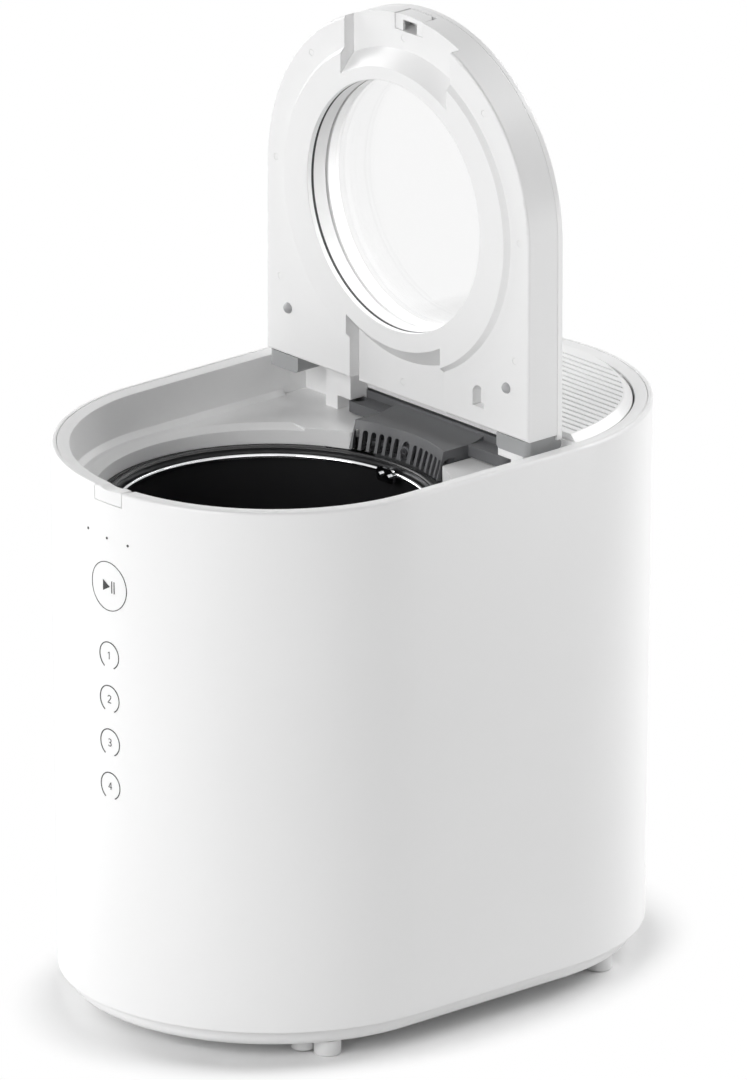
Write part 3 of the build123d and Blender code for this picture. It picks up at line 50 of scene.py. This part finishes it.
# The shell's front is half a circle about front_y, half_width wide at the rim and narrower by the draft at
# its foot. All lengths here are in metres.
rim_z = 0.318
shell_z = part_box("outer_shell")[0].z
front_y = -0.058
half_width = 0.120
draft = 0.0028


# ---------------------------------------------------------------- settings

def colour_setting(name, description, default):
    return bpy.props.FloatVectorProperty(name=name, description=description, subtype="COLOR", min=0, max=1,
                                         default=default)


def length_setting(name, description, default):
    return bpy.props.FloatProperty(name=name, description=description, unit="LENGTH", default=default)


def power_setting(name, description, default):
    return bpy.props.FloatProperty(name=name, description=f"Radiant power of the {description}", unit="POWER",
                                   default=default)


class ComposterFinish(bpy.types.PropertyGroup):
    shell: colour_setting("Shell", "Colour of the glossy white casing and lid", (0.87, 0.87, 0.87))
    rim: colour_setting("Rim", "Colour of the top frame and the lid's inner half", (0.85, 0.85, 0.85))
    base: colour_setting("Base", "Colour of the base tray", (0.82, 0.82, 0.82))
    collector: colour_setting("Collector", "Colour of the dark air collector", (0.118, 0.12, 0.125))
    bucket: colour_setting("Bucket", "Colour of the bucket's non-stick coat", (0.014, 0.014, 0.015))
    knuckle: colour_setting("Knuckles", "Colour of the hinge knuckles", (0.36, 0.365, 0.37))
    ink: colour_setting("Ink", "Colour of the printed marks", (0.035, 0.035, 0.036))


class ComposterControls(bpy.types.PropertyGroup):
    line: length_setting("Line width", "Width of the thin ring round the start key", 0.00045)
    open_line: length_setting("Open ring width", "Width of the four open rings' line", 0.00062)
    start_z: length_setting("Start key height", "Height of the start key's middle", 0.2625)
    start_radius: length_setting("Start key radius", "Radius of the ring round the start key", 0.0138)
    key_z: length_setting("First key height", "Height of the topmost of the four keys", 0.2228)
    key_step: length_setting("Key spacing", "Distance from one key to the next", 0.0250)
    key_radius: length_setting("Key radius", "Radius of the four open rings", 0.0076)
    middle_x: length_setting("Middle", "How far right of the centre line the keys stand", 0.0018)
    lamp_z: length_setting("Status dot height", "Height that the three status dots hang from", 0.2922)


class ComposterStage(bpy.types.PropertyGroup):
    lens: bpy.props.FloatProperty(
        name="Lens", description="Focal length on a 36 mm frame's long side", default=733.75, unit="NONE")
    key: power_setting("Key lamp", "large front lamp", 78.0)
    side: power_setting("Side lamp", "large lamp on the left", 62.0)
    fill: power_setting("Fill lamp", "lamp on the right", 7.0)
    back: power_setting("Back lamp", "lamp behind", 86.0)
    near: power_setting("Near lamp", "small lamp by the right rear", 1.8)
    edge: power_setting("Edge lamp", "small lamp aimed at the front's left part", 0.14)
    ambient: bpy.props.FloatProperty(
        name="Ambient", description="Brightness of the surroundings as a light", default=0.02)


# ---------------------------------------------------------------- finishes

class Graph:
    """Small helper that adds nodes and links to a node tree."""

    def __init__(self, tree):
        self.tree = tree

    def add(self, kind, **values):
        """A new node; each value goes to the property of that name, or else to the input of that name."""
        node = self.tree.nodes.new(kind)
        for key, value in values.items():
            if hasattr(node, key):
                setattr(node, key, value)
            else:
                node.inputs[key.replace("_", " ")].default_value = value
        return node

    def link(self, out, into):
        self.tree.links.new(out, into)


def effect(name, inputs):
    """An empty shader node group that gives colour, roughness and height: its graph, input and output."""
    tree = bpy.data.node_groups.new(name, "ShaderNodeTree")
    for label, kind, value in inputs:
        socket = tree.interface.new_socket(label, in_out="INPUT", socket_type=f"NodeSocket{kind}")
        socket.default_value = value
    for label, kind in (("Color", "Color"), ("Roughness", "Float"), ("Height", "Float")):
        tree.interface.new_socket(label, in_out="OUTPUT", socket_type=f"NodeSocket{kind}")
    g = Graph(tree)
    return g, g.add("NodeGroupInput"), g.add("NodeGroupOutput")


def math(g, operation, *values):
    """The result of a Math node whose values are numbers or other nodes' outputs."""
    node = g.add("ShaderNodeMath", operation=operation)
    for socket, value in zip(node.inputs, values):
        if isinstance(value, (int, float)):
            socket.default_value = value
        else:
            g.link(value, socket)
    return node.outputs[0]


def centred(g, noise):
    """A noise's value less its mean of one half."""
    return math(g, "SUBTRACT", noise.outputs["Fac"], 0.5)


def toned(g, colour, change, tone):
    """The colour x (1 + change x tone)."""
    gain = math(g, "ADD", math(g, "MULTIPLY", change, tone), 1.0)
    grey = g.add("ShaderNodeCombineColor")
    for socket in grey.inputs:
        g.link(gain, socket)
    tint = g.add("ShaderNodeMix", data_type="RGBA", blend_type="MULTIPLY")
    tint.inputs["Factor"].default_value = 1.0
    g.link(colour, tint.inputs["A"])
    g.link(grey.outputs["Color"], tint.inputs["B"])
    return tint.outputs["Result"]


def moulded_surface():
    """Moulded plastic: a very fine grain, broad waves of sink, and slow changes of tone and gloss.

    Tone = colour x (1 + tone variation x (broad noise - 0.5)); roughness moves with a second noise;
    height is grain noise x grain depth plus broad noise x wave depth."""
    g, start, end = effect("moulded_surface", [
        ("Color", "Color", (0.8, 0.8, 0.8, 1)), ("Roughness", "Float", 0.3), ("Grain", "Float", 2600.0),
        ("Grain depth", "Float", 0.15), ("Wave depth", "Float", 0.2), ("Tone", "Float", 0.03)])
    place = g.add("ShaderNodeTexCoord")
    fine = g.add("ShaderNodeTexNoise", Detail=3.0, Roughness=0.6)
    broad = g.add("ShaderNodeTexNoise", Scale=9.0, Detail=2.0)
    speck = g.add("ShaderNodeTexNoise", Scale=160.0, Detail=4.0)
    gloss_change = 0.03
    for noise in (fine, broad, speck):
        g.link(place.outputs["Object"], noise.inputs["Vector"])
    g.link(start.outputs["Grain"], fine.inputs["Scale"])
    rough = math(g, "ADD", start.outputs["Roughness"], math(g, "MULTIPLY", centred(g, speck), gloss_change))
    height = math(g, "ADD", math(g, "MULTIPLY", fine.outputs["Fac"], start.outputs["Grain depth"]),
                  math(g, "MULTIPLY", broad.outputs["Fac"], start.outputs["Wave depth"]))
    g.link(toned(g, start.outputs["Color"], centred(g, broad), start.outputs["Tone"]), end.inputs["Color"])
    g.link(rough, end.inputs["Roughness"])
    g.link(height, end.inputs["Height"])
    return g.tree


def drawn_metal():
    """Rolled or drawn metal: long fine lines along one axis, from noise stretched by scaled coordinates.

    Tone and roughness move with the lines and a slower stain; height follows the lines alone."""
    g, start, end = effect("drawn_metal", [
        ("Color", "Color", (0.6, 0.6, 0.6, 1)), ("Roughness", "Float", 0.3), ("Stretch", "Vector", (1, 1, 1)),
        ("Line depth", "Float", 0.2), ("Tone", "Float", 0.1)])
    place = g.add("ShaderNodeTexCoord")
    aim = g.add("ShaderNodeVectorMath", operation="MULTIPLY")
    g.link(place.outputs["Object"], aim.inputs[0])
    g.link(start.outputs["Stretch"], aim.inputs[1])
    lines = g.add("ShaderNodeTexNoise", Scale=1.0, Detail=5.0, Roughness=0.7)
    stain = g.add("ShaderNodeTexNoise", Scale=28.0, Detail=3.0)
    stain_share, gloss_change = 0.6, 0.25
    g.link(aim.outputs[0], lines.inputs["Vector"])
    g.link(place.outputs["Object"], stain.inputs["Vector"])
    both = math(g, "ADD", centred(g, lines), math(g, "MULTIPLY", centred(g, stain), stain_share))
    rough = math(g, "ADD", start.outputs["Roughness"], math(g, "MULTIPLY", both, gloss_change))
    g.link(toned(g, start.outputs["Color"], both, start.outputs["Tone"]), end.inputs["Color"])
    g.link(rough, end.inputs["Roughness"])
    g.link(math(g, "MULTIPLY", lines.outputs["Fac"], start.outputs["Line depth"]), end.inputs["Height"])
    return g.tree


effects = {}


def finish_with(name, kind, settings, edge=0.0004, bump=0.00006, **surface):
    """A material whose colour, roughness and height come from one shared effect.

    The rounded look of moulded edges comes from a Bevel node of radius edge under the Bump node."""
    mat = bpy.data.materials.new(name)
    mat.use_nodes = True
    g = Graph(mat.node_tree)
    shader = g.tree.nodes["Principled BSDF"]
    group = g.add("ShaderNodeGroup", node_tree=effects[kind])
    for label, value in settings.items():
        socket = group.inputs[label]
        socket.default_value = (*value, 1) if socket.type == "RGBA" else value
    g.link(group.outputs["Color"], shader.inputs["Base Color"])
    g.link(group.outputs["Roughness"], shader.inputs["Roughness"])
    relief = g.add("ShaderNodeBump", Strength=1.0, Distance=bump)
    g.link(group.outputs["Height"], relief.inputs["Height"])
    if edge:
        round_edge = g.add("ShaderNodeBevel", samples=4, Radius=edge)
        g.link(round_edge.outputs["Normal"], relief.inputs["Normal"])
    g.link(relief.outputs["Normal"], shader.inputs["Normal"])
    for label, value in surface.items():
        shader.inputs[label.replace("_", " ")].default_value = value
    mat.diffuse_color = (*settings["Color"], 1)
    return mat


def plastic(name, color, roughness=0.32, grain_depth=0.15, wave=0.25, tone=0.03, **surface):
    return finish_with(name, "moulded", {"Color": color, "Roughness": roughness, "Grain depth": grain_depth,
                                         "Wave depth": wave, "Tone": tone}, **surface)


def metal(name, color, roughness=0.28, stretch=(900, 40, 900), lines=0.2, tone=0.12, **surface):
    return finish_with(name, "drawn", {"Color": color, "Roughness": roughness, "Stretch": stretch,
                                       "Line depth": lines, "Tone": tone}, Metallic=1.0, **surface)


def clear_glass(name, tint):
    """Clear glass with a faint smear, which lets most of the light for shadows through."""
    smear_roughness, shadow_share, solid_view_alpha = 0.05, 0.9, 0.3
    mat = bpy.data.materials.new(name)
    mat.use_nodes = True
    g = Graph(mat.node_tree)
    shader = g.tree.nodes["Principled BSDF"]
    shader.inputs["Base Color"].default_value = (*tint, 1)
    shader.inputs["Transmission Weight"].default_value = 1.0
    shader.inputs["IOR"].default_value = 1.45
    smear = g.add("ShaderNodeTexNoise", Scale=35.0, Detail=4.0)
    place = g.add("ShaderNodeTexCoord")
    g.link(place.outputs["Object"], smear.inputs["Vector"])
    g.link(math(g, "MULTIPLY", smear.outputs["Fac"], smear_roughness), shader.inputs["Roughness"])
    path = g.add("ShaderNodeLightPath")
    let_through = math(g, "MULTIPLY", path.outputs["Is Shadow Ray"], shadow_share)
    g.link(math(g, "SUBTRACT", 1.0, let_through), shader.inputs["Alpha"])
    mat.diffuse_color = (*tint, solid_view_alpha)
    return mat


def paint(names, material):
    """Gives each named CAD node the material, in place of what it has."""
    for name in names.split():
        mesh = nodes[name].data
        mesh.materials.clear()
        mesh.materials.append(material)


class OBJECT_OT_composter_casing(bpy.types.Operator):
    """Finish the shell, the top frame, the base and their fasteners"""
    bl_idname = "object.composter_casing"
    bl_label = "Casing"

    def execute(self, context):
        f = context.scene.composter_finish
        paint("outer_shell filter_cover",
              plastic("shell_gloss", f.shell, 0.31, Coat_Weight=0.25, Coat_Roughness=0.12, edge=0.0008))
        paint("top_frame release_button", plastic("rim_satin", f.rim, 0.34, edge=0.0008))
        paint("base_tray", plastic("base_satin", f.base, 0.42, edge=0.001))
        paint("feet", plastic("foot_rubber", (0.76, 0.76, 0.76), 0.6, edge=0.0008))
        paint("base_screws machine_screws hinge_pins", metal("zinc_screw", (0.62, 0.63, 0.65)))
        paint("power_inlet", plastic("inlet_black", (0.03, 0.03, 0.032), 0.4))
        paint("touch_panel main_board", plastic("board_green", (0.03, 0.16, 0.08), 0.35))
        paint("release_spring", metal("spring_wire", (0.6, 0.6, 0.62), edge=0))
        return {"FINISHED"}


class OBJECT_OT_composter_lid(bpy.types.Operator):
    """Finish the lid's halves, window, seals and hinge"""
    bl_idname = "object.composter_lid"
    bl_label = "Lid"

    def execute(self, context):
        f = context.scene.composter_finish
        paint("lid_cover",
              plastic("lid_gloss", f.shell, 0.31, Coat_Weight=0.25, Coat_Roughness=0.12, edge=0.0008))
        paint("lid_frame", plastic("lid_inner", f.rim, 0.34, edge=0.0007))
        paint("window_ring pane_spacer", plastic("window_ring", (0.78, 0.78, 0.78), 0.3, edge=0))
        paint("window_gasket", plastic("gasket_rubber", (0.02, 0.02, 0.022), 0.55, edge=0))
        paint("window_inner_pane window_outer_pane", clear_glass("window_glass", (0.965, 0.965, 0.965)))
        paint("lid_bumpers", plastic("bumper_rubber", (0.40, 0.40, 0.41), 0.4, edge=0))
        paint("lid_screws latch_keeper", plastic("screw_cap", f.rim, 0.4))
        paint("hinge_knuckles", plastic("knuckle_grey", f.knuckle, 0.38))
        return {"FINISHED"}


class OBJECT_OT_composter_bucket(bpy.types.Operator):
    """Finish the bucket, its wire bails and the stirring blade"""
    bl_idname = "object.composter_bucket"
    bl_label = "Bucket and blade"

    def execute(self, context):
        f = context.scene.composter_finish
        paint("bucket", plastic("non_stick_coat", f.bucket, 0.30, grain_depth=0.35, Coat_Weight=0.3,
                                Coat_Roughness=0.2))
        paint("bail_right bail_left bail_ears",
              metal("bail_chrome", (0.80, 0.81, 0.82), 0.10, lines=0.05, edge=0))
        paint("blade", metal("blade_steel", (0.56, 0.56, 0.57), 0.30))
        paint("blade_shaft blade_coupling output_shaft", metal("ground_steel", (0.58, 0.59, 0.60), 0.25))
        paint("blade_bush", metal("bronze", (0.60, 0.42, 0.20), 0.3))
        paint("blade_seal pot_seal", plastic("silicone", (0.03, 0.03, 0.032), 0.5))
        return {"FINISHED"}


class OBJECT_OT_composter_drive(bpy.types.Operator):
    """Finish the pot, the heater, the gears and the motor"""
    bl_idname = "object.composter_drive"
    bl_label = "Heater and drive"

    def execute(self, context):
        paint("heating_pot", metal("pot_aluminium", (0.72, 0.73, 0.74), 0.36, stretch=(40, 40, 900)))
        paint("heater_plate", metal("cast_aluminium", (0.60, 0.60, 0.61), 0.5, stretch=(500, 500, 500)))
        paint("heating_element", metal("heated_steel", (0.34, 0.30, 0.27), 0.4))
        paint("temperature_sensor chassis_plate", metal("zinc_plate", (0.60, 0.61, 0.63), 0.36))
        paint("insulation_jacket",
              plastic("fibre_jacket", (0.66, 0.63, 0.54), 0.9, grain_depth=1.0, tone=0.2, bump=0.0006))
        paint("gearbox_housing gearbox_cover", plastic("gearbox_grey", (0.06, 0.065, 0.07), 0.45))
        paint("output_gear cluster_gear_b cluster_gear_a",
              plastic("gear_nylon", (0.72, 0.69, 0.58), 0.4, edge=0))
        paint("motor_pinion motor_shaft gear_axles output_bearings",
              metal("turned_steel", (0.58, 0.59, 0.60), 0.25, edge=0))
        paint("output_seal", plastic("lip_seal", (0.03, 0.03, 0.03), 0.5))
        paint("motor", metal("motor_can", (0.42, 0.43, 0.45), 0.35, stretch=(60, 60, 900)))
        return {"FINISHED"}


class OBJECT_OT_composter_air(bpy.types.Operator):
    """Finish the air collector, the duct, the fan and the filter"""
    bl_idname = "object.composter_air"
    bl_label = "Air path"

    def execute(self, context):
        f = context.scene.composter_finish
        paint("air_collector", plastic("collector_grey", f.collector, 0.36, edge=0.0006))
        paint("collector_screws", metal("black_screw", (0.10, 0.10, 0.105), 0.4))
        paint("suction_duct", plastic("duct_grey", (0.16, 0.165, 0.17), 0.45))
        paint("fan_frame fan_impeller", plastic("fan_black", (0.025, 0.025, 0.027), 0.4, edge=0))
        paint("filter_tub", plastic("tub_white", (0.70, 0.70, 0.69), 0.4))
        paint("cartridge_frame", plastic("cartridge_grey", (0.30, 0.31, 0.32), 0.45, edge=0))
        paint("carbon_bed", plastic("carbon_grains", (0.02, 0.02, 0.02), 0.8, grain_depth=3.0, tone=0.5,
                                    bump=0.0012, edge=0))
        return {"FINISHED"}


# ---------------------------------------------------------------- printed controls

ink_height = 0.00012

bar_places = (0.0028, 0.0046)            # the pause bars, right of the keys' middle
bar_half_height, bar_half_line = 0.0034, 0.00028
arrow_left, arrow_length, arrow_half_height = -0.0042, 0.0056, 0.0032
key_gap = radians(58)                    # the open rings' gap
digit_half_height, digit_half_line = 0.0021, 0.00022
dot_radius, dot_half_line = 0.0004, 0.00035
start_points, key_points, dot_points, bar_points = 120, 80, 16, 12    # along each mark's line
# Each status dot's place across, and its height from that setting.
dot_places = ((-0.0154, -0.0011), (0.0011, -0.0023), (0.0168, -0.0030))

# Each digit's strokes, as points across and up in half-heights.
digit_strokes = {
    1: [[(-0.30, 0.62), (0.10, 1.0), (0.10, -1.0)]],
    2: [[(-0.55, 0.55), (-0.35, 0.92), (0.10, 1.0), (0.48, 0.78), (0.52, 0.38), (0.28, -0.05), (-0.58, -1.0),
         (0.58, -1.0)]],
    3: [[(-0.50, 0.80), (-0.10, 1.0), (0.36, 0.88), (0.50, 0.50), (0.30, 0.16), (-0.12, 0.06), (0.34, -0.06),
         (0.56, -0.46), (0.36, -0.88), (-0.10, -1.0), (-0.54, -0.78)]],
    4: [[(0.62, -0.40), (-0.62, -0.40), (0.26, 1.0), (0.26, -1.0)]],
}


def new_piece(name, points, faces, material, body):
    """A smooth mesh object at the origin, from arrays of points and faces, riding on a body."""
    mesh = bpy.data.meshes.new(name)
    mesh.from_pydata(np.asarray(points, float).reshape(-1, 3).tolist(), [], np.asarray(faces).tolist())
    mesh.polygons.foreach_set("use_smooth", np.full(len(mesh.polygons), True))
    mesh.materials.append(material)
    mesh.update()
    piece = bpy.data.objects.new(name, mesh)
    bpy.context.scene.collection.objects.link(piece)
    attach(piece, body)
    return piece


def grid_faces(rows, columns, close_rows=False, close_columns=False):
    """Quads of a rows x columns grid of points, counted along the columns first."""
    i = np.arange(rows if close_rows else rows - 1)
    j = np.arange(columns if close_columns else columns - 1)
    i, j = (a.ravel() for a in np.meshgrid(i, j, indexing="ij"))
    i2, j2 = (i + 1) % rows, (j + 1) % columns
    return np.stack([i * columns + j, i * columns + j2, i2 * columns + j2, i2 * columns + j], 1)


def shell_half(z):
    """Half-width of the drafted shell at height z."""
    return half_width - draft * (rim_z - z) / (rim_z - shell_z)


def on_shell(x, z, lift):
    """Points of the front of the shell at sideways place x and height z, lifted off it by lift."""
    radius = shell_half(z) + lift
    return np.stack([x, front_y - np.sqrt(radius ** 2 - x ** 2), z], -1)


def ribbon(name, x, z, half, material, closed=False):
    """A printed line: the path (x, z) widened by half to each side, laid on the shell's front."""
    if closed:
        dx, dz = np.roll(x, -1) - np.roll(x, 1), np.roll(z, -1) - np.roll(z, 1)
    else:
        dx, dz = np.gradient(x), np.gradient(z)
    size = np.hypot(dx, dz)
    nx, nz = -dz / size, dx / size
    side = np.array([-1, 1])[:, None] * half
    flat = on_shell(x + side * nx, z + side * nz, ink_height)
    under = on_shell(x + side[::-1] * nx, z + side[::-1] * nz, -ink_height)
    points = np.concatenate([flat, under])
    faces = grid_faces(4, len(x), close_rows=True, close_columns=closed)
    if not closed:
        n = len(x)
        faces = np.concatenate([faces, [[0, n, 2 * n, 3 * n], [4 * n - 1, 3 * n - 1, 2 * n - 1, n - 1]]])
    return new_piece(name, points, faces, material, "chassis")


def arc(radius, x, z, gap, count):
    """Points of a ring of that radius about (x, z), open by the angle gap at its foot."""
    t = np.linspace(gap / 2, 2 * pi - gap / 2, count, endpoint=gap > 0) - pi / 2
    return x + radius * np.cos(t), z + radius * np.sin(t)


def arrow(name, x, z, material):
    """A printed triangle that points to the right, with its tip's height at z."""
    n = 8
    u, v = np.meshgrid(np.linspace(0, 1, n), np.linspace(-1, 1, n), indexing="ij")
    across = x + arrow_left + arrow_length * u
    up = z + arrow_half_height * v * (1 - u)
    top = on_shell(across, up, ink_height).reshape(-1, 3)
    low = on_shell(across, up, -ink_height).reshape(-1, 3)
    faces = grid_faces(n, n)
    faces = np.concatenate([faces, faces[:, ::-1] + n * n])
    return new_piece(name, np.concatenate([top, low]), faces, material, "chassis")


def stroke_points(stroke, steps=5):
    """A digit's stroke at its real size, each of its lines cut into that many steps."""
    path = np.array(stroke) * digit_half_height
    lines = [np.linspace(a, b, steps, endpoint=False) for a, b in zip(path[:-1], path[1:])]
    return np.concatenate(lines + [path[-1:]])


class OBJECT_OT_composter_controls(bpy.types.Operator):
    """Print the start key, the four numbered keys and the status dots on the front"""
    bl_idname = "object.composter_controls"
    bl_label = "Printed controls"

    def execute(self, context):
        c = context.scene.composter_controls
        ink = plastic("printed_ink", context.scene.composter_finish.ink, 0.5, edge=0, wave=0)
        x, z = arc(c.start_radius, c.middle_x, c.start_z, 0.0, start_points)
        ribbon("start_ring", x, z, c.line / 2, ink, closed=True)
        bar = np.linspace(-bar_half_height, bar_half_height, bar_points)
        for k, place in enumerate(bar_places):
            x = np.full(bar_points, c.middle_x + place)
            ribbon(f"start_bar_{k + 1}", x, c.start_z + bar, bar_half_line, ink)
        arrow("start_arrow", c.middle_x, c.start_z, ink)
        for k, strokes in digit_strokes.items():
            middle_z = c.key_z - (k - 1) * c.key_step
            x, z = arc(c.key_radius, c.middle_x, middle_z, key_gap, key_points)
            ribbon(f"key_ring_{k}", x, z, c.open_line / 2, ink)
            for stroke in strokes:
                x, z = stroke_points(stroke).T
                ribbon(f"key_number_{k}", c.middle_x + x, middle_z + z, digit_half_line, ink)
        for k, (place, drop) in enumerate(dot_places):
            x, z = arc(dot_radius, place, c.lamp_z + drop, 0.0, dot_points)
            ribbon(f"status_dot_{k + 1}", x, z, dot_half_line, ink, closed=True)
        return {"FINISHED"}


# ---------------------------------------------------------------- stage

camera_turn, camera_rise, camera_roll = 0.846247, 0.339331, 0.001144    # radians
camera_place = (8.452187, -7.482159, 4.226083)
camera_shift = (0.020023, 0.008963)
sensor_size = 36                                                        # millimetres

# Each lamp's size, place and target. Its power is the stage setting of the same name.
object_middle = (0, 0, 0.25)
lamps = {
    "key": ((2.4, 2.0), (0.4, -3.2, 1.6), object_middle),
    "side": ((2.0, 2.0), (-3.0, -0.4, 1.6), object_middle),
    "fill": ((2.0, 2.4), (2.8, -1.4, 1.4), object_middle),
    "back": ((2.4, 1.8), (0.4, 2.8, 2.2), object_middle),
    "near": ((0.4, 0.5), (0.80, 0.62, 0.22), object_middle),
    "edge": ((0.3, 0.3), (-0.9, -0.9, 0.4), (-0.08, -0.12, 0.16)),
}
edge_spread = radians(34)

floor_reach, floor_lines = 30, 41
# The floor turns white between two distances from the middle, measured with the length scaled down so that
# they follow the oval casing.
length_scale, shadow_reach, white_reach = 0.70, 0.124, 0.152
floor_grey = 0.93


def lamp(name, power, size, place, target):
    """A rectangular area lamp at a place, facing the target."""
    data = bpy.data.lights.new(name, "AREA")
    data.shape, data.size, data.size_y = "RECTANGLE", size[0], size[1]
    data.energy = power
    obj = bpy.data.objects.new(name, data)
    bpy.context.scene.collection.objects.link(obj)
    place, target = Vector(place), Vector(target)
    obj.location = place
    obj.rotation_euler = (place - target).to_track_quat("Z", "Y").to_euler()
    return obj


def seen_directly(g):
    """1 for a ray from the camera, a gloss or a window, and 0 for one that gathers light."""
    path = g.add("ShaderNodeLightPath")
    return math(g, "MAXIMUM", path.outputs["Is Camera Ray"],
                math(g, "MAXIMUM", path.outputs["Is Glossy Ray"], path.outputs["Is Transmission Ray"]))


def blend(g, factor, first, second, end):
    """Mixes two shaders by the factor, from the first to the second, into a new node of the kind end."""
    mix = g.add("ShaderNodeMixShader")
    g.link(factor, mix.inputs[0])
    g.link(first.outputs[0], mix.inputs[1])
    g.link(second.outputs[0], mix.inputs[2])
    g.link(mix.outputs[0], g.add(end).inputs[0])


def set_camera(scene, lens):
    """The camera, placed by its turn about the upright axis, its rise and its roll."""
    level = cos(camera_rise)
    back = Vector((sin(camera_turn) * level, -cos(camera_turn) * level, sin(camera_rise)))
    right = Vector((cos(camera_turn), sin(camera_turn), 0))
    up = back.cross(right)
    side = right * cos(camera_roll) + up * sin(camera_roll)
    head = up * cos(camera_roll) - right * sin(camera_roll)
    data = bpy.data.cameras.new("camera")
    data.sensor_fit, data.sensor_width, data.sensor_height = "AUTO", sensor_size, sensor_size
    data.lens, data.clip_end = lens, 100
    data.shift_x, data.shift_y = camera_shift
    camera = bpy.data.objects.new("camera", data)
    scene.collection.objects.link(camera)
    axes = Matrix((side, head, back)).transposed().to_4x4()
    axes.translation = Vector(camera_place)
    camera.matrix_world = axes
    scene.camera = camera


def set_surroundings(scene, ambient):
    """A white background where it is seen, and a faint light elsewhere."""
    world = bpy.data.worlds.new("surroundings")
    world.use_nodes = True
    scene.world = world
    g = Graph(world.node_tree)
    g.tree.nodes.clear()
    low = g.add("ShaderNodeBackground", Color=(1, 1, 1, 1), Strength=ambient)
    high = g.add("ShaderNodeBackground", Color=(1, 1, 1, 1), Strength=1.0)
    blend(g, seen_directly(g), low, high, "ShaderNodeOutputWorld")


def lay_floor(scene):
    """A floor that takes shadow near the object and is seen as white further out."""
    u = floor_reach * np.linspace(-1, 1, floor_lines) ** 3
    x, y = np.meshgrid(u, u, indexing="ij")
    points = np.stack([x, y, np.zeros_like(x)], -1).reshape(-1, 3)
    mesh = bpy.data.meshes.new("floor")
    mesh.from_pydata(points.tolist(), [], grid_faces(floor_lines, floor_lines)[:, ::-1].tolist())
    floor = bpy.data.objects.new("floor", mesh)
    scene.collection.objects.link(floor)
    mat = bpy.data.materials.new("pale_floor")
    mat.use_nodes = True
    g = Graph(mat.node_tree)
    g.tree.nodes.clear()
    place = g.add("ShaderNodeTexCoord")
    oval = g.add("ShaderNodeVectorMath", operation="MULTIPLY")
    oval.inputs[1].default_value = (1, length_scale, 1)
    length = g.add("ShaderNodeVectorMath", operation="LENGTH")
    g.link(place.outputs["Object"], oval.inputs[0])
    g.link(oval.outputs[0], length.inputs[0])
    far = g.add("ShaderNodeMapRange", interpolation_type="SMOOTHSTEP")
    g.link(length.outputs["Value"], far.inputs["Value"])
    far.inputs["From Min"].default_value, far.inputs["From Max"].default_value = shadow_reach, white_reach
    paper = g.add("ShaderNodeBsdfDiffuse", Color=(floor_grey, floor_grey, floor_grey, 1))
    white = g.add("ShaderNodeEmission", Color=(1, 1, 1, 1), Strength=1.0)
    factor = math(g, "MULTIPLY", far.outputs["Result"], seen_directly(g))
    blend(g, factor, paper, white, "ShaderNodeOutputMaterial")
    mesh.materials.append(mat)


class OBJECT_OT_composter_stage(bpy.types.Operator):
    """Set up the camera, the lamps, the surroundings and the floor"""
    bl_idname = "object.composter_stage"
    bl_label = "Stage"

    def execute(self, context):
        s = context.scene.composter_stage
        scene = context.scene
        set_camera(scene, s.lens)
        for name, (size, place, target) in lamps.items():
            light = lamp(f"{name}_lamp", getattr(s, name), size, place, target)
            if name == "edge":
                light.data.spread = edge_spread
        set_surroundings(scene, s.ambient)
        lay_floor(scene)
        scene.view_settings.view_transform = "Standard"
        return {"FINISHED"}


# ---------------------------------------------------------------- add-on

class VIEW3D_PT_composter(bpy.types.Panel):
    """Composter pieces and settings"""
    bl_label = "Composter"
    bl_idname = "VIEW3D_PT_composter"
    bl_space_type = "VIEW_3D"
    bl_region_type = "UI"
    bl_category = "Composter"

    def draw(self, context):
        for cls in operators:
            self.layout.operator(cls.bl_idname)
        scene = context.scene
        for group in (scene.composter_finish, scene.composter_controls, scene.composter_stage):
            # The first two properties of every group are built in.
            for name in group.bl_rna.properties.keys()[2:]:
                self.layout.prop(group, name)


operators = (OBJECT_OT_composter_casing, OBJECT_OT_composter_lid, OBJECT_OT_composter_bucket,
             OBJECT_OT_composter_drive, OBJECT_OT_composter_air, OBJECT_OT_composter_controls,
             OBJECT_OT_composter_stage)
classes = (ComposterFinish, ComposterControls, ComposterStage) + operators + (VIEW3D_PT_composter,)


def register():
    for cls in classes:
        bpy.utils.register_class(cls)
    bpy.types.Scene.composter_finish = bpy.props.PointerProperty(type=ComposterFinish)
    bpy.types.Scene.composter_controls = bpy.props.PointerProperty(type=ComposterControls)
    bpy.types.Scene.composter_stage = bpy.props.PointerProperty(type=ComposterStage)


def unregister():
    del bpy.types.Scene.composter_finish, bpy.types.Scene.composter_controls, bpy.types.Scene.composter_stage
    for cls in reversed(classes):
        bpy.utils.unregister_class(cls)


def main():
    register()
    effects["moulded"], effects["drawn"] = moulded_surface(), drawn_metal()
    for cls in operators:
        family, name = cls.bl_idname.split(".")
        getattr(getattr(bpy.ops, family), name)()


if __name__ == "__main__":
    main()
